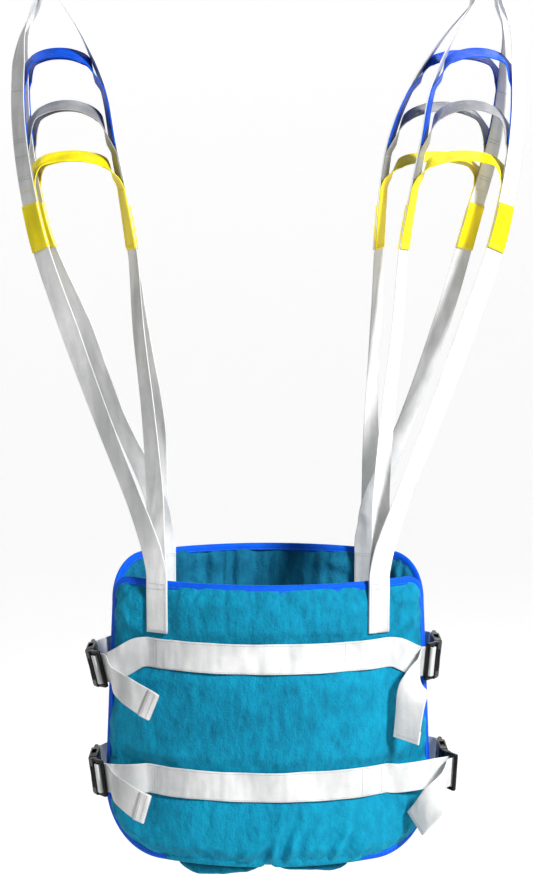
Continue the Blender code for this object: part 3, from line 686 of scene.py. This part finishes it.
def edge_sweep(name, panel, body, slot, section, nodes=(), keep=None, pucker=0.0003, notch=0.0):
    """Tape folded round a panel's edge: a closed ring, or the stretch that keep selects."""
    line = [p for p in panel.outline(0.004) if keep is None or keep(p)]
    if keep:
        jump = max(range(len(line)), key=lambda i: math.dist(line[i][:2], line[i - 1][:2]))
        line = line[jump:] + line[:jump]
    loop = list(section) + [(d, -h) for d, h in reversed(section)]
    verts, uvs = [], []
    travelled = 0.0
    for i, (s, z, ns, nz) in enumerate(line):
        if i:
            travelled += math.dist((s, z), line[i - 1][:2])
        across = 0.0
        for k, (d, h) in enumerate(loop):
            lump = pucker * ripple(travelled, 11 + k % 3, 150) * min(1.0, d / 0.004)
            drawn = notch * math.exp(-(s / 0.0055) ** 2) * (1 - 0.55 * d / 0.015)
            height = h + math.copysign(1, h) * lump
            verts.append(panel.point(s - ns * d, z - nz * d + drawn, height))
            if k:
                across += math.dist(loop[k], loop[k - 1])
            uvs.append((across, travelled))
    faces = skin(0, len(line), len(loop), closed=keep is None)
    add_piece(name, mesh_of(name, verts, faces, uvs), body, slot, nodes)
    return line


def edge_stitches(half, panel, line, closed):
    """A row of stitches on each face along a bound edge."""
    inset, height = 0.0080, 0.0038
    threads = Stitches(half + "_tape_stitches")
    walk = line + line[:1] if closed else line
    for face in (1, -1):
        points = [panel.point(s - ns * inset, z - nz * inset, face * height)
                  for s, z, ns, nz in walk]
        threads.run(points, [panel.plan(s)[1] * face for s, z, ns, nz in walk])
    threads.done(half + "_half", "blue_binding", "blue")


def build_lobe(name, s_start, s_end, depths, node):
    """Soft folded lobe sewn inside the front panel's lower edge, hanging just below it."""
    top, columns, rows = -1.103, 56, 34
    middle = -(FACE + FACETED + GAP) - 0.0036
    roll = FRONT.bottom + 0.001
    verts = []
    for side in (1, -1):
        for i in range(columns + 1):
            f = i / columns
            end = (1 - abs(2 * f - 1) ** 5) ** 0.5
            at = f * (len(depths) - 1)
            k = min(int(at), len(depths) - 2)
            deep = depths[k] + (depths[k + 1] - depths[k]) * eased(at - k)
            low = FRONT.bottom - deep * end + 0.004 * (1 - end)
            s = s_start + (s_end - s_start) * f
            for j in range(rows + 1):
                g = j / rows
                z = top + (low - top) * g
                full = min(1.0, 8 * min(f, 1 - f)) ** 0.5 * min(1.0, 7 * (1 - g)) ** 0.5
                thick = 0.0006 + full * (0.0015 + 0.0030 * eased((z - roll) / (low - roll)))
                swing = 0.0011 * g * ripple(s, 21, 80) + 0.0007 * g * ripple(s + z, 22, 190)
                verts.append(FRONT.point(s, z, middle + swing + side * thick))
    faces, _ = two_sheets(columns + 1, rows + 1)
    # the lobe's finish paints a shadow along its top, under the rolled edge
    lobe = add_piece(name, mesh_of(name, verts, faces), "front_half", "teal_cover", [node],
                     [FINISHES["teal_fold_painted_shadow"]])
    subdivide(lobe)


# ---- webbing
def spline(knots, spacing, least=3):
    """Points and width directions on a centripetal curve through the knots."""
    places = [k[0] for k in knots]
    padded = [places[0] * 2 - places[1]] + places + [places[-1] * 2 - places[-2]]
    result = []
    for i in range(len(places) - 1):
        p0, p1, p2, p3 = padded[i:i + 4]
        t1 = (p1 - p0).length ** 0.5
        t2 = t1 + (p2 - p1).length ** 0.5
        t3 = t2 + (p3 - p2).length ** 0.5
        steps = max(least, math.ceil((p2 - p1).length / spacing))
        for k in range(steps):
            t = t1 + (t2 - t1) * k / steps
            a1 = p0.lerp(p1, t / t1)
            a2 = p1.lerp(p2, (t - t1) / (t2 - t1))
            a3 = p2.lerp(p3, (t - t2) / (t3 - t2))
            b1 = a1.lerp(a2, t / t2)
            b2 = a2.lerp(a3, (t - t1) / (t3 - t1))
            place = b1.lerp(b2, (t - t1) / (t2 - t1))
            result.append((place, knots[i][1].lerp(knots[i + 1][1], k / steps)))
    result.append(knots[-1])
    return result


def direction(path, i):
    """Unit vectors along, across and out of a band at one place of its path."""
    along = (path[min(i + 1, len(path) - 1)][0] - path[max(i - 1, 0)][0]).normalized()
    wide = path[i][1]
    wide = (wide - along * wide.dot(along)).normalized()
    return along, wide, along.cross(wide).normalized()


class Band:
    """Woven band with soft edges along a path of (point, width direction)."""

    # Half cross-section from the edge inwards: share of the half width, share of the half
    # thickness; the selvage is a little fuller than the field.
    SECTION = ((1.0, 0.0), (0.992, 0.55), (0.970, 0.95), (0.930, 1.0), (0.860, 0.90), (0.45, 0.86))

    def __init__(self, path, width):
        self.width = width
        self.frames = []
        travelled = 0.0
        for i, (place, _) in enumerate(path):
            if i:
                travelled += (place - path[i - 1][0]).length
            self.frames.append((place, *direction(path, i), travelled))

    def section(self):
        top = [*self.SECTION, (0.0, 0.86)] + [(-a, b) for a, b in reversed(self.SECTION)]
        return top + [(a, -b) for a, b in reversed(top[1:-1])]

    def add_to(self, verts, faces, uvs):
        loop = self.section()
        faces += skin(len(verts), len(self.frames), len(loop))
        for place, _, wide, normal, travelled in self.frames:
            for a, b in loop:
                verts.append(place + wide * (a * self.width / 2) + normal * (b * WEB / 2))
                uvs.append((a * self.width / 2, travelled))

    def at_height(self, z, half):
        """The cross-section nearest a height, in the first or the second half of the path."""
        middle = len(self.frames) // 2
        part = self.frames[:middle] if half == 0 else self.frames[middle:]
        return min(part, key=lambda f: abs(f[0].z - z))

    def at_length(self, travelled):
        return min(self.frames, key=lambda f: abs(f[4] - travelled))

    def cross(self, threads, frame_at, faces=(1, -1), shift=0.0):
        """A row of stitches across the band."""
        place, along, wide, normal, _ = frame_at
        half = self.width / 2 - 0.0022
        for face in faces:
            middle = place + along * shift + normal * face * THREAD_LIFT
            points = [middle + wide * half * (k / 3 - 1) for k in range(7)]
            threads.run(points, [normal * face] * 7, 0.0026, 0.0019)

    def lengthways(self, threads, start, end, face, inset=0.0028):
        """Two rows of stitches along one face between two travelled lengths."""
        part = [f for f in self.frames if start <= f[4] <= end]
        for edge in (1, -1):
            aside = edge * (self.width / 2 - inset)
            points = [place + wide * aside + normal * face * THREAD_LIFT
                      for place, _, wide, normal, _ in part]
            threads.run(points, [f[3] * face for f in part])

    def sew_down(self, threads, panel, z, lift, nearest_y, face, lines):
        """Stitch the run of a belt that lies on its panel: along its edges and across it."""
        run = [f for f in self.frames if abs(f[0].z - z) < 0.0001 and abs(f[0].y) > nearest_y]
        for s, shift in lines:
            place = panel.point(s, z, lift)
            frame_at = min(run, key=lambda f: (f[0] - place).length)
            self.cross(threads, frame_at, (face,), shift)
        self.lengthways(threads, run[0][4], run[-1][4], face, 0.0022)


def band_piece(name, bands, body, slot, node):
    verts, faces, uvs = [], [], []
    for band in bands:
        band.add_to(verts, faces, uvs)
    add_piece(name, mesh_of(name, verts, faces, uvs), body, slot, [node])


class Buckle:
    """Own axes of one buckle: t outward, l towards the back, w along its width."""

    def __init__(self, side, x, z, lean, way):
        angle = math.radians(lean)
        self.side, self.way = side, way
        self.centre = Vector((x, 0, z))
        self.out = Vector((side * math.cos(angle), 0, -math.sin(angle)))
        self.wide = Vector((side * math.sin(angle), 0, math.cos(angle)))

    def at(self, t, l, w=0.0):
        return self.centre + self.out * t + Vector((0, l, 0)) + self.wide * w

    def matrix(self):
        made = Matrix((self.out, (0, 1, 0), self.wide)).transposed().to_4x4()
        made.translation = self.centre
        return made


def turned(t, l, way):
    """Where a point of the flat plug lies once its ladder lock is turned."""
    if l >= TURN_AT:
        return t, l
    c, s = math.cos(LOCK_TURN), way * math.sin(LOCK_TURN)
    return t * c + (l - TURN_AT) * s, TURN_AT + (l - TURN_AT) * c - t * s


def lock_thread(buckle):
    """Webbing through the ladder lock, from the load side round the bar to the tail."""
    turn = LOCK_START + BAR + SLOT
    far = turn + BAR * 0.85 + SLOT / 2
    near = LOCK_START + BAR + SLOT / 2
    over = BAR_HALF + GAP + WEB * 0.75
    under = -BAR_HALF - GAP - WEB * 0.75
    lead = under - LAYER - 0.0002
    wrap = [(0.0, far), (over - 0.0008, far - 0.0003), (over + 0.0002, far - 0.0026),
            (over + 0.0002, near + 0.0026), (over - 0.0008, near + 0.0003), (0.0, near)]
    if buckle.way > 0:
        places = [(lead - 0.0010, LOCK_START - 0.004), (lead, LOCK_START + 0.002),
                  (lead, turn - 0.0005),
                  (lead + 0.0006, far - 0.0011), (lead + 0.0026, far - 0.0002)]
        places += wrap
        places += [(under + 0.0016, near - 0.0002), (under + 0.0002, near - 0.0016),
                   (under, LOCK_START + 0.001), (under + 0.0004, LOCK_START - 0.006)]
    else:
        # The webbing meets this lock square on, so it runs straight through the slots.
        places = [(-0.0200, far + 0.0015), (-0.0110, far)] + wrap
        places += [(-0.0060, near), (-0.0130, near - 0.0030)]
    return [(buckle.at(*turned(t, l, buckle.way)), buckle.wide) for t, l in places]


def hem(path, face):
    """Folded end of a belt: a tight turn and a short way back along one face."""
    end = path[-1][0]
    along, wide, normal = direction(path, len(path) - 1)
    turn = [(end + along * a + normal * face * b, wide)
            for a, b in ((0.0008, 0.0002), (0.0012, 0.0009), (0.0008, 0.0017))]
    i, travelled = len(path) - 2, 0.0
    while travelled < HEM:
        travelled += (path[i + 1][0] - path[i][0]).length
        _, wide, normal = direction(path, i)
        turn.append((path[i][0] + normal * face * 0.0019, wide))
        i -= 1
    return turn


# Free ends of the front belts, from the ladder locks: places and width directions
TAILS = {
    "upper_left": (((-0.204, -0.09, -0.901), (-0.2, 0.05, 1)),
                   ((-0.188, -0.109, -0.908), (-0.14, 0.08, 1)),
                   ((-0.168, -0.122, -0.917), (-0.18, 0.05, 1)),
                   ((-0.149, -0.129, -0.926), (-0.26, 0.0, 1))),
    "lower_left": (((-0.204, -0.09, -1.049), (-0.06, 0.05, 1)),
                   ((-0.19, -0.108, -1.053), (0.02, 0.05, 1)),
                   ((-0.175, -0.121, -1.059), (0.12, 0.0, 1)),
                   ((-0.159, -0.129, -1.064), (0.18, 0.0, 1))),
    "upper_right": (((0.1985, -0.095, -0.888), (-0.02, 0.05, 1)),
                    ((0.193, -0.11, -0.898), (-0.45, 0.15, 1)),
                    ((0.187, -0.119, -0.916), (-0.92, 0.45, 0.5)),
                    ((0.1835, -0.122, -0.941), (-1, 0.7, 0.1)),
                    ((0.18, -0.122, -0.972), (-1, 0.8, -0.05))),
    "lower_right": (((0.233, -0.095, -1.043), (0.0, 0.1, 1)),
                    ((0.224, -0.109, -1.054), (-0.2, 0.35, 1)),
                    ((0.2095, -0.111, -1.072), (-0.3, 0.55, 0.95)),
                    ((0.1955, -0.104, -1.092), (-0.3, 0.6, 0.9))),
}
CROSS_LINES = {"upper": (-0.148, 0.098, 0.150), "lower": (-0.150, 0.122, 0.156)}
BACK_LINES = (-0.185, -0.181, -0.06, 0.06, 0.181, 0.185)


def front_belt(level, buckles, threads):
    """One length of webbing: tail, ladder lock, sewn run across the panel, lock, tail."""
    z = FRONT_BELTS[level]
    run = []
    for i in range(41):
        s = SEWN_HALF * (i / 20 - 1)
        free = eased((SEWN_HALF - abs(s)) / 0.03)
        slack = (0.0018 + 0.0010 * ripple(s + z, 31, 34)) * free
        tilt = FRONT.plan(s)[1] * (0.06 * ripple(s - z, 32, 22) * free)
        run.append((FRONT.point(s, z, WEB_LIFT + slack), UP + tilt))

    def one_side(side):
        buckle = buckles[level + "_" + side]
        thread = lock_thread(buckle)
        free = [(Vector(p), Vector(a).normalized()) for p, a in TAILS[level + "_" + side]]
        ease = FRONT.point(buckle.side * (SEWN_HALF + 0.012), z - 0.002, WEB_LIFT + 0.0028)
        middle = ease.lerp(thread[0][0], 0.55) + Vector((0, -0.003, 0))
        return [(ease, UP), (middle, (UP + buckle.wide).normalized())] + thread + free

    path = spline(one_side("left")[::-1] + run + one_side("right"), PATH_STEP)
    path = hem(path[::-1], 1)[::-1] + path + hem(path, 1)
    band = Band(path, BELT_WIDTH)
    band_piece(level + "_front_belt", [band], "front_half", "webbing", level + "_front_webbing")
    for inset in (HEM * 0.42, HEM * 0.86, HEM + 0.0047, HEM + 0.0100):
        band.cross(threads, band.at_length(inset))
        band.cross(threads, band.at_length(band.frames[-1][4] - inset))
    lines = [(s, 0.0) for s in CROSS_LINES[level]]
    lines += [(s, math.copysign(0.004, -s)) for s in CROSS_LINES[level] if abs(s) > 0.14]
    band.sew_down(threads, FRONT, z, WEB_LIFT, 0.08, 1, lines)


def back_belt(level, buckles, threads):
    """Webbing round the back panel, its ends folded round the bars of the sockets."""
    def fold(side):
        buckle = buckles[level + "_" + side]
        inner = -(0.003 + GAP + WEB * 0.75)
        slot = SOCKET_END + 0.0025
        places = ((inner, 0.022), (inner, 0.0100), (inner + 0.0006, slot + 0.0012),
                  (inner + 0.0024, slot), (0.0, slot - 0.0001), (0.0026, slot),
                  (-inner - 0.0002, slot + 0.0018), (-inner, 0.0105),
                  (-inner - 0.0005, SOCKET_BAR_END + 0.0015),
                  (inner + LAYER + 0.0014, SOCKET_BAR_END + 0.0070),
                  (inner + LAYER + 0.0002, SOCKET_BAR_END + 0.0110))
        return [(buckle.at(t, l), buckle.wide) for t, l in places]

    z = BACK_BELTS[level]
    run = [(BACK.point(BACK_REACH * (i / 20 - 1), z, WEB_LIFT), UP) for i in range(41)]
    band = Band(spline(fold("left")[::-1] + run + fold("right"), PATH_STEP), BELT_WIDTH)
    band_piece(level + "_back_belt", [band], "back_half", "webbing", level + "_back_webbing")
    band.sew_down(threads, BACK, z, WEB_LIFT, 0.03, -1, [(s, 0.0) for s in BACK_LINES])


class Ladder:
    """One looped strap: two rails that turn and close onto a sewn base."""

    def __init__(self, side, rows, panel, base_s, lifts):
        self.side, self.rows = side, rows
        self.panel, self.base_s, self.lifts = panel, base_s, lifts

    def row(self, z):
        """Middle, half spread, depth and turn at a height, by a smooth curve of the rows."""
        rows = self.rows
        i = 0
        while i < len(rows) - 2 and z < rows[i + 1][0]:
            i += 1
        a, b, c, d = (rows[max(i - 1, 0)], rows[i], rows[i + 1], rows[min(i + 2, len(rows) - 1)])
        f = (z - b[0]) / (c[0] - b[0])
        ease = f * f * (3 - 2 * f)
        before, after = ((c[0] - b[0]) / (q[0] - p[0]) for p, q in ((a, c), (b, d)))
        return [b[k] + (c[k] - b[k]) * ease + f * (1 - f) ** 2 * before * (c[k] - a[k])
                + f * f * (f - 1) * after * (d[k] - b[k]) for k in range(1, 5)]

    def rail(self, leg, z):
        """Point on a rail, its width direction and the direction into the loop."""
        middle, spread, depth, turn = self.row(z)
        angle = math.radians(turn)
        sign = 1 if leg == "outer" else -1
        place = Vector((self.side * (middle + sign * spread * math.sin(angle)),
                        depth - sign * spread * math.cos(angle), z))
        lift = clamp((-0.026 - z) / 0.07) * clamp((z + 0.66) / 0.22)
        face = angle - math.radians(FACE_TWIST[leg]) * lift
        across = Vector((math.cos(face), self.side * math.sin(face), 0))
        inward = Vector((-sign * self.side * math.sin(face), sign * math.cos(face), 0))
        return place, across, inward

    def base(self, leg):
        lift = self.lifts[leg]
        heights = (BASE_LOW, -0.800, self.panel.top - 0.006, self.panel.top + 0.010)
        _, outward = self.panel.plan(self.base_s)
        across = Vector((abs(outward.y), -outward.x * math.copysign(1, outward.y), 0))
        return [(self.panel.point(self.base_s, z, lift), across) for z in heights]

    def heights(self, low, high, step=0.011):
        count = max(2, math.ceil((high - low) / step))
        return [low + (high - low) * i / count for i in range(count + 1)]

    def strap(self):
        heights = self.heights(self.rows[-1][0], self.rows[0][0])
        up = self.base("outer") + [self.rail("outer", z)[:2] for z in heights]
        down = [self.rail("inner", z)[:2] for z in reversed(heights)]
        down += list(reversed(self.base("inner")))
        seat = LOOP_DROP - WEB / 2
        over = []
        for i in range(1, 12):
            angle = math.pi * i / 12
            place = Vector((self.side * (HOOK_X + LOOP_HALF * math.cos(angle)), self.rows[0][3],
                            seat * math.sin(angle) - LOOP_DROP))
            over.append((place, Vector((0, self.side, 0))))
        return Band(spline(up + over + down, PATH_STEP, 2), SLING_WIDTH)

    def leg(self, which, low, leave, offset):
        heights = self.heights(low, leave, 0.009)
        return [(place + inward * offset, across)
                for place, across, inward in (self.rail(which, z) for z in heights)]

    def loop(self, low, leave, top):
        """Coloured loop: legs sewn inside the rails, an arch free between them."""
        def side_of(which):
            knots = self.leg(which, low, leave, LAYER)
            place, across, inward = self.rail(which, leave + 0.012)
            return knots + [(place + inward * 0.0060, across)]

        outer, inner = side_of("outer"), side_of("inner")
        a, b = outer[-1][0], inner[-1][0]
        depth = self.rows[0][3]
        tilt = math.radians(ARCH_TILT)
        along_y = Vector((0, self.side * math.cos(tilt), self.side * math.sin(tilt)))
        arch = []
        for f, rise in ((0.13, 0.70), (0.30, 0.93), (0.50, 1.0), (0.70, 0.93), (0.87, 0.70)):
            place = a.lerp(b, f)
            place.z += (top - place.z) * rise
            place.y += (depth - place.y) * min(1.0, 4 * min(f, 1 - f))
            arch.append((place, along_y))
        return Band(spline(outer + arch + list(reversed(inner)), PATH_STEP, 2), SLING_WIDTH)


def build_ladder(name, ladder, body, threads):
    strap = ladder.strap()
    band_piece(name + "_strap", [strap], body, "webbing", name + "_sling_webbing")
    top = ladder.panel.top
    for z in (BASE_LOW + 0.003, top - 0.004, top - 0.0085):
        strap.cross(threads["white"], strap.at_height(z, 0), (-1,))
    strap.lengthways(threads["white"], 0.003, top - 0.005 - BASE_LOW, -1)
    for shade, (low, leave, top) in LOOPS.items():
        band = ladder.loop(low, leave, top)
        bands = [band]
        if shade == "yellow":
            for leg in ("outer", "inner"):
                patch = ladder.leg(leg, low, leave - 0.022, -LAYER)
                bands.append(Band(spline(patch, PATH_STEP, 2), SLING_WIDTH))
        band_piece(f"{name}_{shade}_rung", bands, body, shade + "_webbing", f"{name}_{shade}_loop")
        sewing = threads.get(shade, threads["white"])
        on_strap = threads["yellow" if shade == "yellow" else "white"]
        for z in (low + 0.003, low + 0.0065, leave - 0.004):
            for half in (0, 1):
                band.cross(sewing, band.at_height(z, half))
                strap.cross(on_strap, strap.at_height(z, half))
        for patch in bands[1:]:
            for travelled in (0.003, 0.0065, patch.frames[-1][4] - 0.003):
                patch.cross(sewing, patch.at_length(travelled))


# ---- buckles
def rounded_box(t, l, w, radius):
    """Box with rounded edges from its ranges on the buckle's own axes. One number stands for
    a range about zero."""
    sides = [sorted(r) if isinstance(r, tuple) else (-r, r) for r in (t, l, w)]
    low, high = (Vector([side[end] for side in sides]) for end in (0, 1))
    shape = bmesh.new()
    bmesh.ops.create_cube(shape, size=1.0)
    bmesh.ops.scale(shape, vec=high - low, verts=shape.verts)
    bmesh.ops.translate(shape, vec=(low + high) / 2, verts=shape.verts)
    room = min(high - low) / 2 * 0.98
    bmesh.ops.bevel(shape, geom=shape.edges, offset=min(radius, room), segments=3,
                    profile=0.5, affect="EDGES")
    mesh = bpy.data.meshes.new("blank")
    shape.to_mesh(mesh)
    shape.free()
    return mesh


def smoothed(mesh, sharp):
    """Shade a mesh smooth apart from edges sharper than an angle."""
    mesh.shade_smooth()
    mesh.set_sharp_from_angle(angle=math.radians(sharp))
    return mesh


def carve(solids, cutters=()):
    """Union of rounded boxes less other rounded boxes, as one closed mesh."""
    blank = add_object("blank", rounded_box(*solids[0]))
    helpers = [blank]
    for operation, boxes in (("UNION", solids[1:]), ("DIFFERENCE", cutters)):
        for box in boxes:
            change = blank.modifiers.new(operation, "BOOLEAN")
            change.operation = operation
            change.object = add_object("tool", rounded_box(*box))
            helpers.append(change.object)
    graph = bpy.context.evaluated_depsgraph_get()
    mesh = bpy.data.meshes.new_from_object(blank.evaluated_get(graph))
    for helper in helpers:
        bpy.data.objects.remove(helper, do_unlink=True)
    mesh.materials.clear()
    return smoothed(mesh, 38)


def latch_mesh(way):
    """Plug half: turned ladder lock of rounded bars, a ribbed shoulder and a guide tongue."""
    w, slot_w = LOCK_HALF_WIDTH, SLOT_HALF_WIDTH
    first = LOCK_START + BAR
    second = first + SLOT + BAR * 0.85
    block = second + SLOT
    cheek = (LOCK_START + 0.0006, block + 0.002)
    solids = [(BLOCK_HALF, (block, BLOCK_END), w, 0.0018),
              (BAR_HALF, (LOCK_START, first), w, 0.0026),
              (0.0026, (first + SLOT, second), w - 0.001, 0.0020),
              (BAR_HALF, cheek, (slot_w, w), 0.0018),
              (BAR_HALF, cheek, (-w, -slot_w), 0.0018),
              (0.002, (BLOCK_END - 0.002, -0.018), 0.004, 0.0008)]
    for face in (1, -1):
        for k in range(3):
            l = block + 0.0030 + k * 0.0023
            t = (face * (BLOCK_HALF - 0.0008), face * (BLOCK_HALF + 0.0005))
            solids.append((t, (l, l + 0.0011), 0.0150, 0.0004))
    mesh = carve(solids)
    for vertex in mesh.vertices:
        vertex.co.x, vertex.co.y = turned(vertex.co.x, vertex.co.y, way)
    return mesh


def socket_mesh():
    """Receiving half: a sleeve with side windows, a dished face and a bar for the webbing."""
    w = LOCK_HALF_WIDTH
    mouth = BLOCK_END + GAP
    inner_w, inner_t = w - 0.0030, SOCKET_HALF - SOCKET_WALL
    solids = [(SOCKET_HALF, (mouth, SOCKET_END - 0.0015), w, 0.0022),
              (0.003, (SOCKET_END - 0.005, SOCKET_BAR_END), w, 0.0022)]
    cutters = [(inner_t, (mouth - 0.01, -0.0050), inner_w, 0.0010),
               (WINDOW_HALF, WINDOW, 0.04, 0.0016),
               (0.02, (SOCKET_END + 0.0003, SOCKET_END + 0.0052), SLOT_HALF_WIDTH, 0.0010)]
    for face in (1, -1):
        beyond = face * (SOCKET_HALF + 0.004)
        dish, notch = face * (SOCKET_HALF - 0.0006), face * (inner_t - 0.002)
        cutters.append(((dish, beyond), (-0.0355, -0.0085), 0.0125, 0.0018))
        cutters.append(((notch, beyond), (mouth - 0.006, mouth + 0.0042), 0.0065, 0.0018))
    return carve(solids, cutters)


def prong_mesh(side):
    """Springy arm whose ribbed barb shows in the socket's side window."""
    start = BLOCK_END + 2 * GAP
    half = 0.0027
    top, low = (WINDOW[0] + 0.0012, PRONG_W + 0.0078), (WINDOW[1] - 0.0060, PRONG_W + 0.0064)
    profile = [(start, PRONG_W - 0.0040), (start, PRONG_W), (top[0], PRONG_W + 0.0022), top]
    ribs = 4
    for k in range(ribs):
        for f, sink in ((0.30, 0.0), (0.45, 0.0006), (0.80, 0.0006), (0.95, 0.0)):
            g = (k + f) / ribs
            profile.append((top[0] + (low[0] - top[0]) * g, top[1] + (low[1] - top[1]) * g - sink))
    profile += [low, (PRONG_END, PRONG_W + 0.0010), (PRONG_END, PRONG_W - 0.0040)]
    shape = bmesh.new()
    ring = [shape.verts.new((-half, l, side * w)) for l, w in profile]
    cap = shape.faces.new(ring)
    grown = bmesh.ops.extrude_face_region(shape, geom=[cap])
    moved = [v for v in grown["geom"] if isinstance(v, bmesh.types.BMVert)]
    bmesh.ops.translate(shape, vec=(2 * half, 0, 0), verts=moved)
    bmesh.ops.recalc_face_normals(shape, faces=shape.faces)
    rims = [e for e in shape.edges if abs(e.verts[0].co.x - e.verts[1].co.x) < 1e-6]
    bmesh.ops.bevel(shape, geom=rims, offset=0.00035, segments=2, profile=0.5, affect="EDGES")
    mesh = bpy.data.meshes.new("prong")
    shape.to_mesh(mesh)
    shape.free()
    return smoothed(mesh, 35)


def placed(mesh, matrix):
    """Move a mesh, turning its faces out again where the frame is a mirror image."""
    mesh = mesh.copy()
    mesh.transform(matrix)
    if matrix.is_negative:
        mesh.flip_normals()
    return mesh


# ---- assembly
def along_bottom(p, height, start, end):
    """Whether a point of the front panel's outline is on its lower edge, between two places."""
    return p[1] < FRONT.bottom + height and start < p[0] < end


def build_panels():
    front_held = {1: [strip(0.205, z) for z in FRONT_BELTS.values()]
                  + [base(s, FRONT.top) for s in FRONT_BASES.values()],
                  -1: [(-0.131, 0.118, FRONT.bottom, -1.098)]}
    back_held = {1: [strip(0.24, z) for z in BACK_BELTS.values()],
                 -1: [base(s, BACK.top) for s in BACK_BASES.values()]}
    build_pad("front_panel_pad", FRONT, "front_half", {1: front_cover_shape, -1: plain_shape(41)},
              front_held, ["front_panel_cover", "front_panel_lining", "front_panel_foam"])
    build_pad("back_panel_pad", BACK, "back_half", {1: plain_shape(51), -1: back_lining_shape},
              back_held, ["back_panel_cover", "back_panel_lining", "back_panel_foam"])
    front_line = edge_sweep("front_panel_tape", FRONT, "front_half", "blue_binding", TAPE_SECTION,
                            ["front_panel_binding"],
                            lambda p: not along_bottom(p, 0.004, -0.130, 0.120))
    edge_sweep("front_panel_rolled_edge", FRONT, "front_half", "teal_cover", ROLL_SECTION,
               keep=lambda p: along_bottom(p, 0.008, -0.138, 0.128), pucker=0.0013, notch=0.0075)
    back_line = edge_sweep("back_panel_tape", BACK, "back_half", "blue_binding", TAPE_SECTION,
                           ["back_panel_binding"])
    edge_stitches("front", FRONT, front_line, closed=False)
    edge_stitches("back", BACK, back_line, closed=True)
    build_lobe("front_lower_lobe_left", -0.131, -0.006, (0.016, 0.020, 0.018, 0.014, 0.010),
               "front_lower_flap_left")
    build_lobe("front_lower_lobe_right", 0.006, 0.118, (0.008, 0.010, 0.011, 0.015, 0.014),
               "front_lower_flap_right")


def build_webbing(buckles):
    sewing = {half: {"white": Stitches(half + "_webbing_stitches"),
                     "yellow": Stitches(half + "_yellow_stitches"),
                     "blue": Stitches(half + "_blue_stitches")} for half in ("front", "back")}
    for level in ("upper", "lower"):
        front_belt(level, buckles, sewing["front"]["white"])
        back_belt(level, buckles, sewing["back"]["white"])
    back_lift = WEB_LIFT + FACETED
    halves = {"front": (FRONT, FRONT_BASES, {-1: FRONT_ROWS, 1: FRONT_ROWS},
                        {"inner": WEB_LIFT, "outer": WEB_LIFT + LAYER}),
              "back": (BACK, BACK_BASES, {-1: BACK_LEFT_ROWS, 1: BACK_RIGHT_ROWS},
                       {"inner": -back_lift, "outer": -back_lift - LAYER})}
    for half, (panel, bases, rows, lifts) in halves.items():
        for label, side in (("left", -1), ("right", 1)):
            ladder = Ladder(side, rows[side], panel, bases[side], lifts)
            build_ladder(half + "_" + label, ladder, half + "_half", sewing[half])
        for shade, slot in (("yellow", "yellow_webbing"), ("blue", "blue_webbing"),
                            ("white", "webbing")):
            sewing[half][shade].done(half + "_half", slot, shade)


def build_buckles(buckles):
    latches, socket = {way: latch_mesh(way) for way in (1, -1)}, socket_mesh()
    prongs = {"upper": prong_mesh(1), "lower": prong_mesh(-1)}
    for name, buckle in buckles.items():
        matrix = buckle.matrix()
        add_piece(name + "_buckle_plug", placed(latches[buckle.way], matrix), "front_half",
                  "buckle_plastic", [name + "_latch"])
        add_piece(name + "_buckle_socket", placed(socket, matrix), "back_half", "buckle_plastic",
                  [name + "_socket"])
        for label, mesh in prongs.items():
            node = f"{name}_{label}_prong"
            add_piece(node + "_arm", placed(mesh, matrix), node, "buckle_plastic", [node])


# ---- stage, light, camera
def build_stage():
    """Round pale floor that curves up into a low wall far from the sling and glows as a soft light,
    dimmer and darker in front.
    """
    floor, radius, bend, wall, around = -1.75, 7.0, 2.5, 3.0, 96
    profile = [(1.5, floor), (radius - bend, floor)]
    for k in range(1, 13):
        angle = math.pi / 2 * k / 12
        profile.append((radius - bend + bend * math.sin(angle), floor + bend * (1 - math.cos(angle))))
    profile.append((radius, floor + bend + wall))
    turns = [2 * math.pi * k / around for k in range(around)]
    verts = [(0.0, 0.0, floor)]
    verts += [(r * math.cos(a), r * math.sin(a), z) for r, z in profile for a in turns]
    faces = [[0, 1 + k, 1 + (k + 1) % around] for k in range(around)]
    faces += skin(1, len(profile), around, caps=False)
    mesh = bpy.data.meshes.new("studio_floor")
    mesh.from_pydata(verts, [], faces)
    mesh.shade_smooth()
    plain = Finish("studio_glowing_white", Roughness=1.0, Specular_IOR_Level=0.0, Emission_Strength=0.60)
    # painted light: the floor glows, its emission and colour fading from behind the sling to in front
    # of it, lighting the sling and whitening the backdrop
    depth = plain.linear(plain.axes("Object")[1], 0.6, 1.0)
    for socket, front, back in (("Base Color", 0.46, 0.60), ("Emission Color", 0.14, 1)):
        plain.feed(plain.shader.inputs[socket], plain.ramp(depth, (0, front), (1, back)))
    mesh.materials.append(plain.material)
    add_object("studio_floor", mesh)


def add_light(name, place, size, power):
    """Round soft light aimed at the middle of the sling."""
    data = bpy.data.lights.new(name, "AREA")
    data.shape = "DISK"
    data.size = size
    data.energy = power
    lamp = add_object(name, data)
    lamp.location = place
    aim = Vector((0.0, 0.0, -0.75)) - Vector(place)
    lamp.rotation_euler = aim.to_track_quat("-Z", "Y").to_euler()


def build_studio():
    scene = bpy.context.scene
    scene.view_settings.view_transform = "Standard"
    world = bpy.data.worlds.new("studio_world")
    world.use_nodes = True
    sky = world.node_tree.nodes["Background"]
    sky.inputs["Color"].default_value = (1, 1, 1, 1)
    sky.inputs["Strength"].default_value = 0.06
    scene.world = world
    build_stage()
    add_light("key", (1.8, -2.3, 1.25), 0.6, 178)
    add_light("back", (0.6, 2.6, 1.2), 1.4, 22)
    data = bpy.data.cameras.new("camera")
    data.sensor_width = 36
    data.lens = 70.86
    camera = add_object("camera", data)
    camera.location = (-0.002, -2.32, -0.27)
    camera.rotation_euler = (math.radians(82), 0, 0)
    scene.camera = camera


build_studio()
all_buckles = {name: Buckle(*spec) for name, spec in BUCKLES.items()}
build_panels()
build_webbing(all_buckles)
build_buckles(all_buckles)
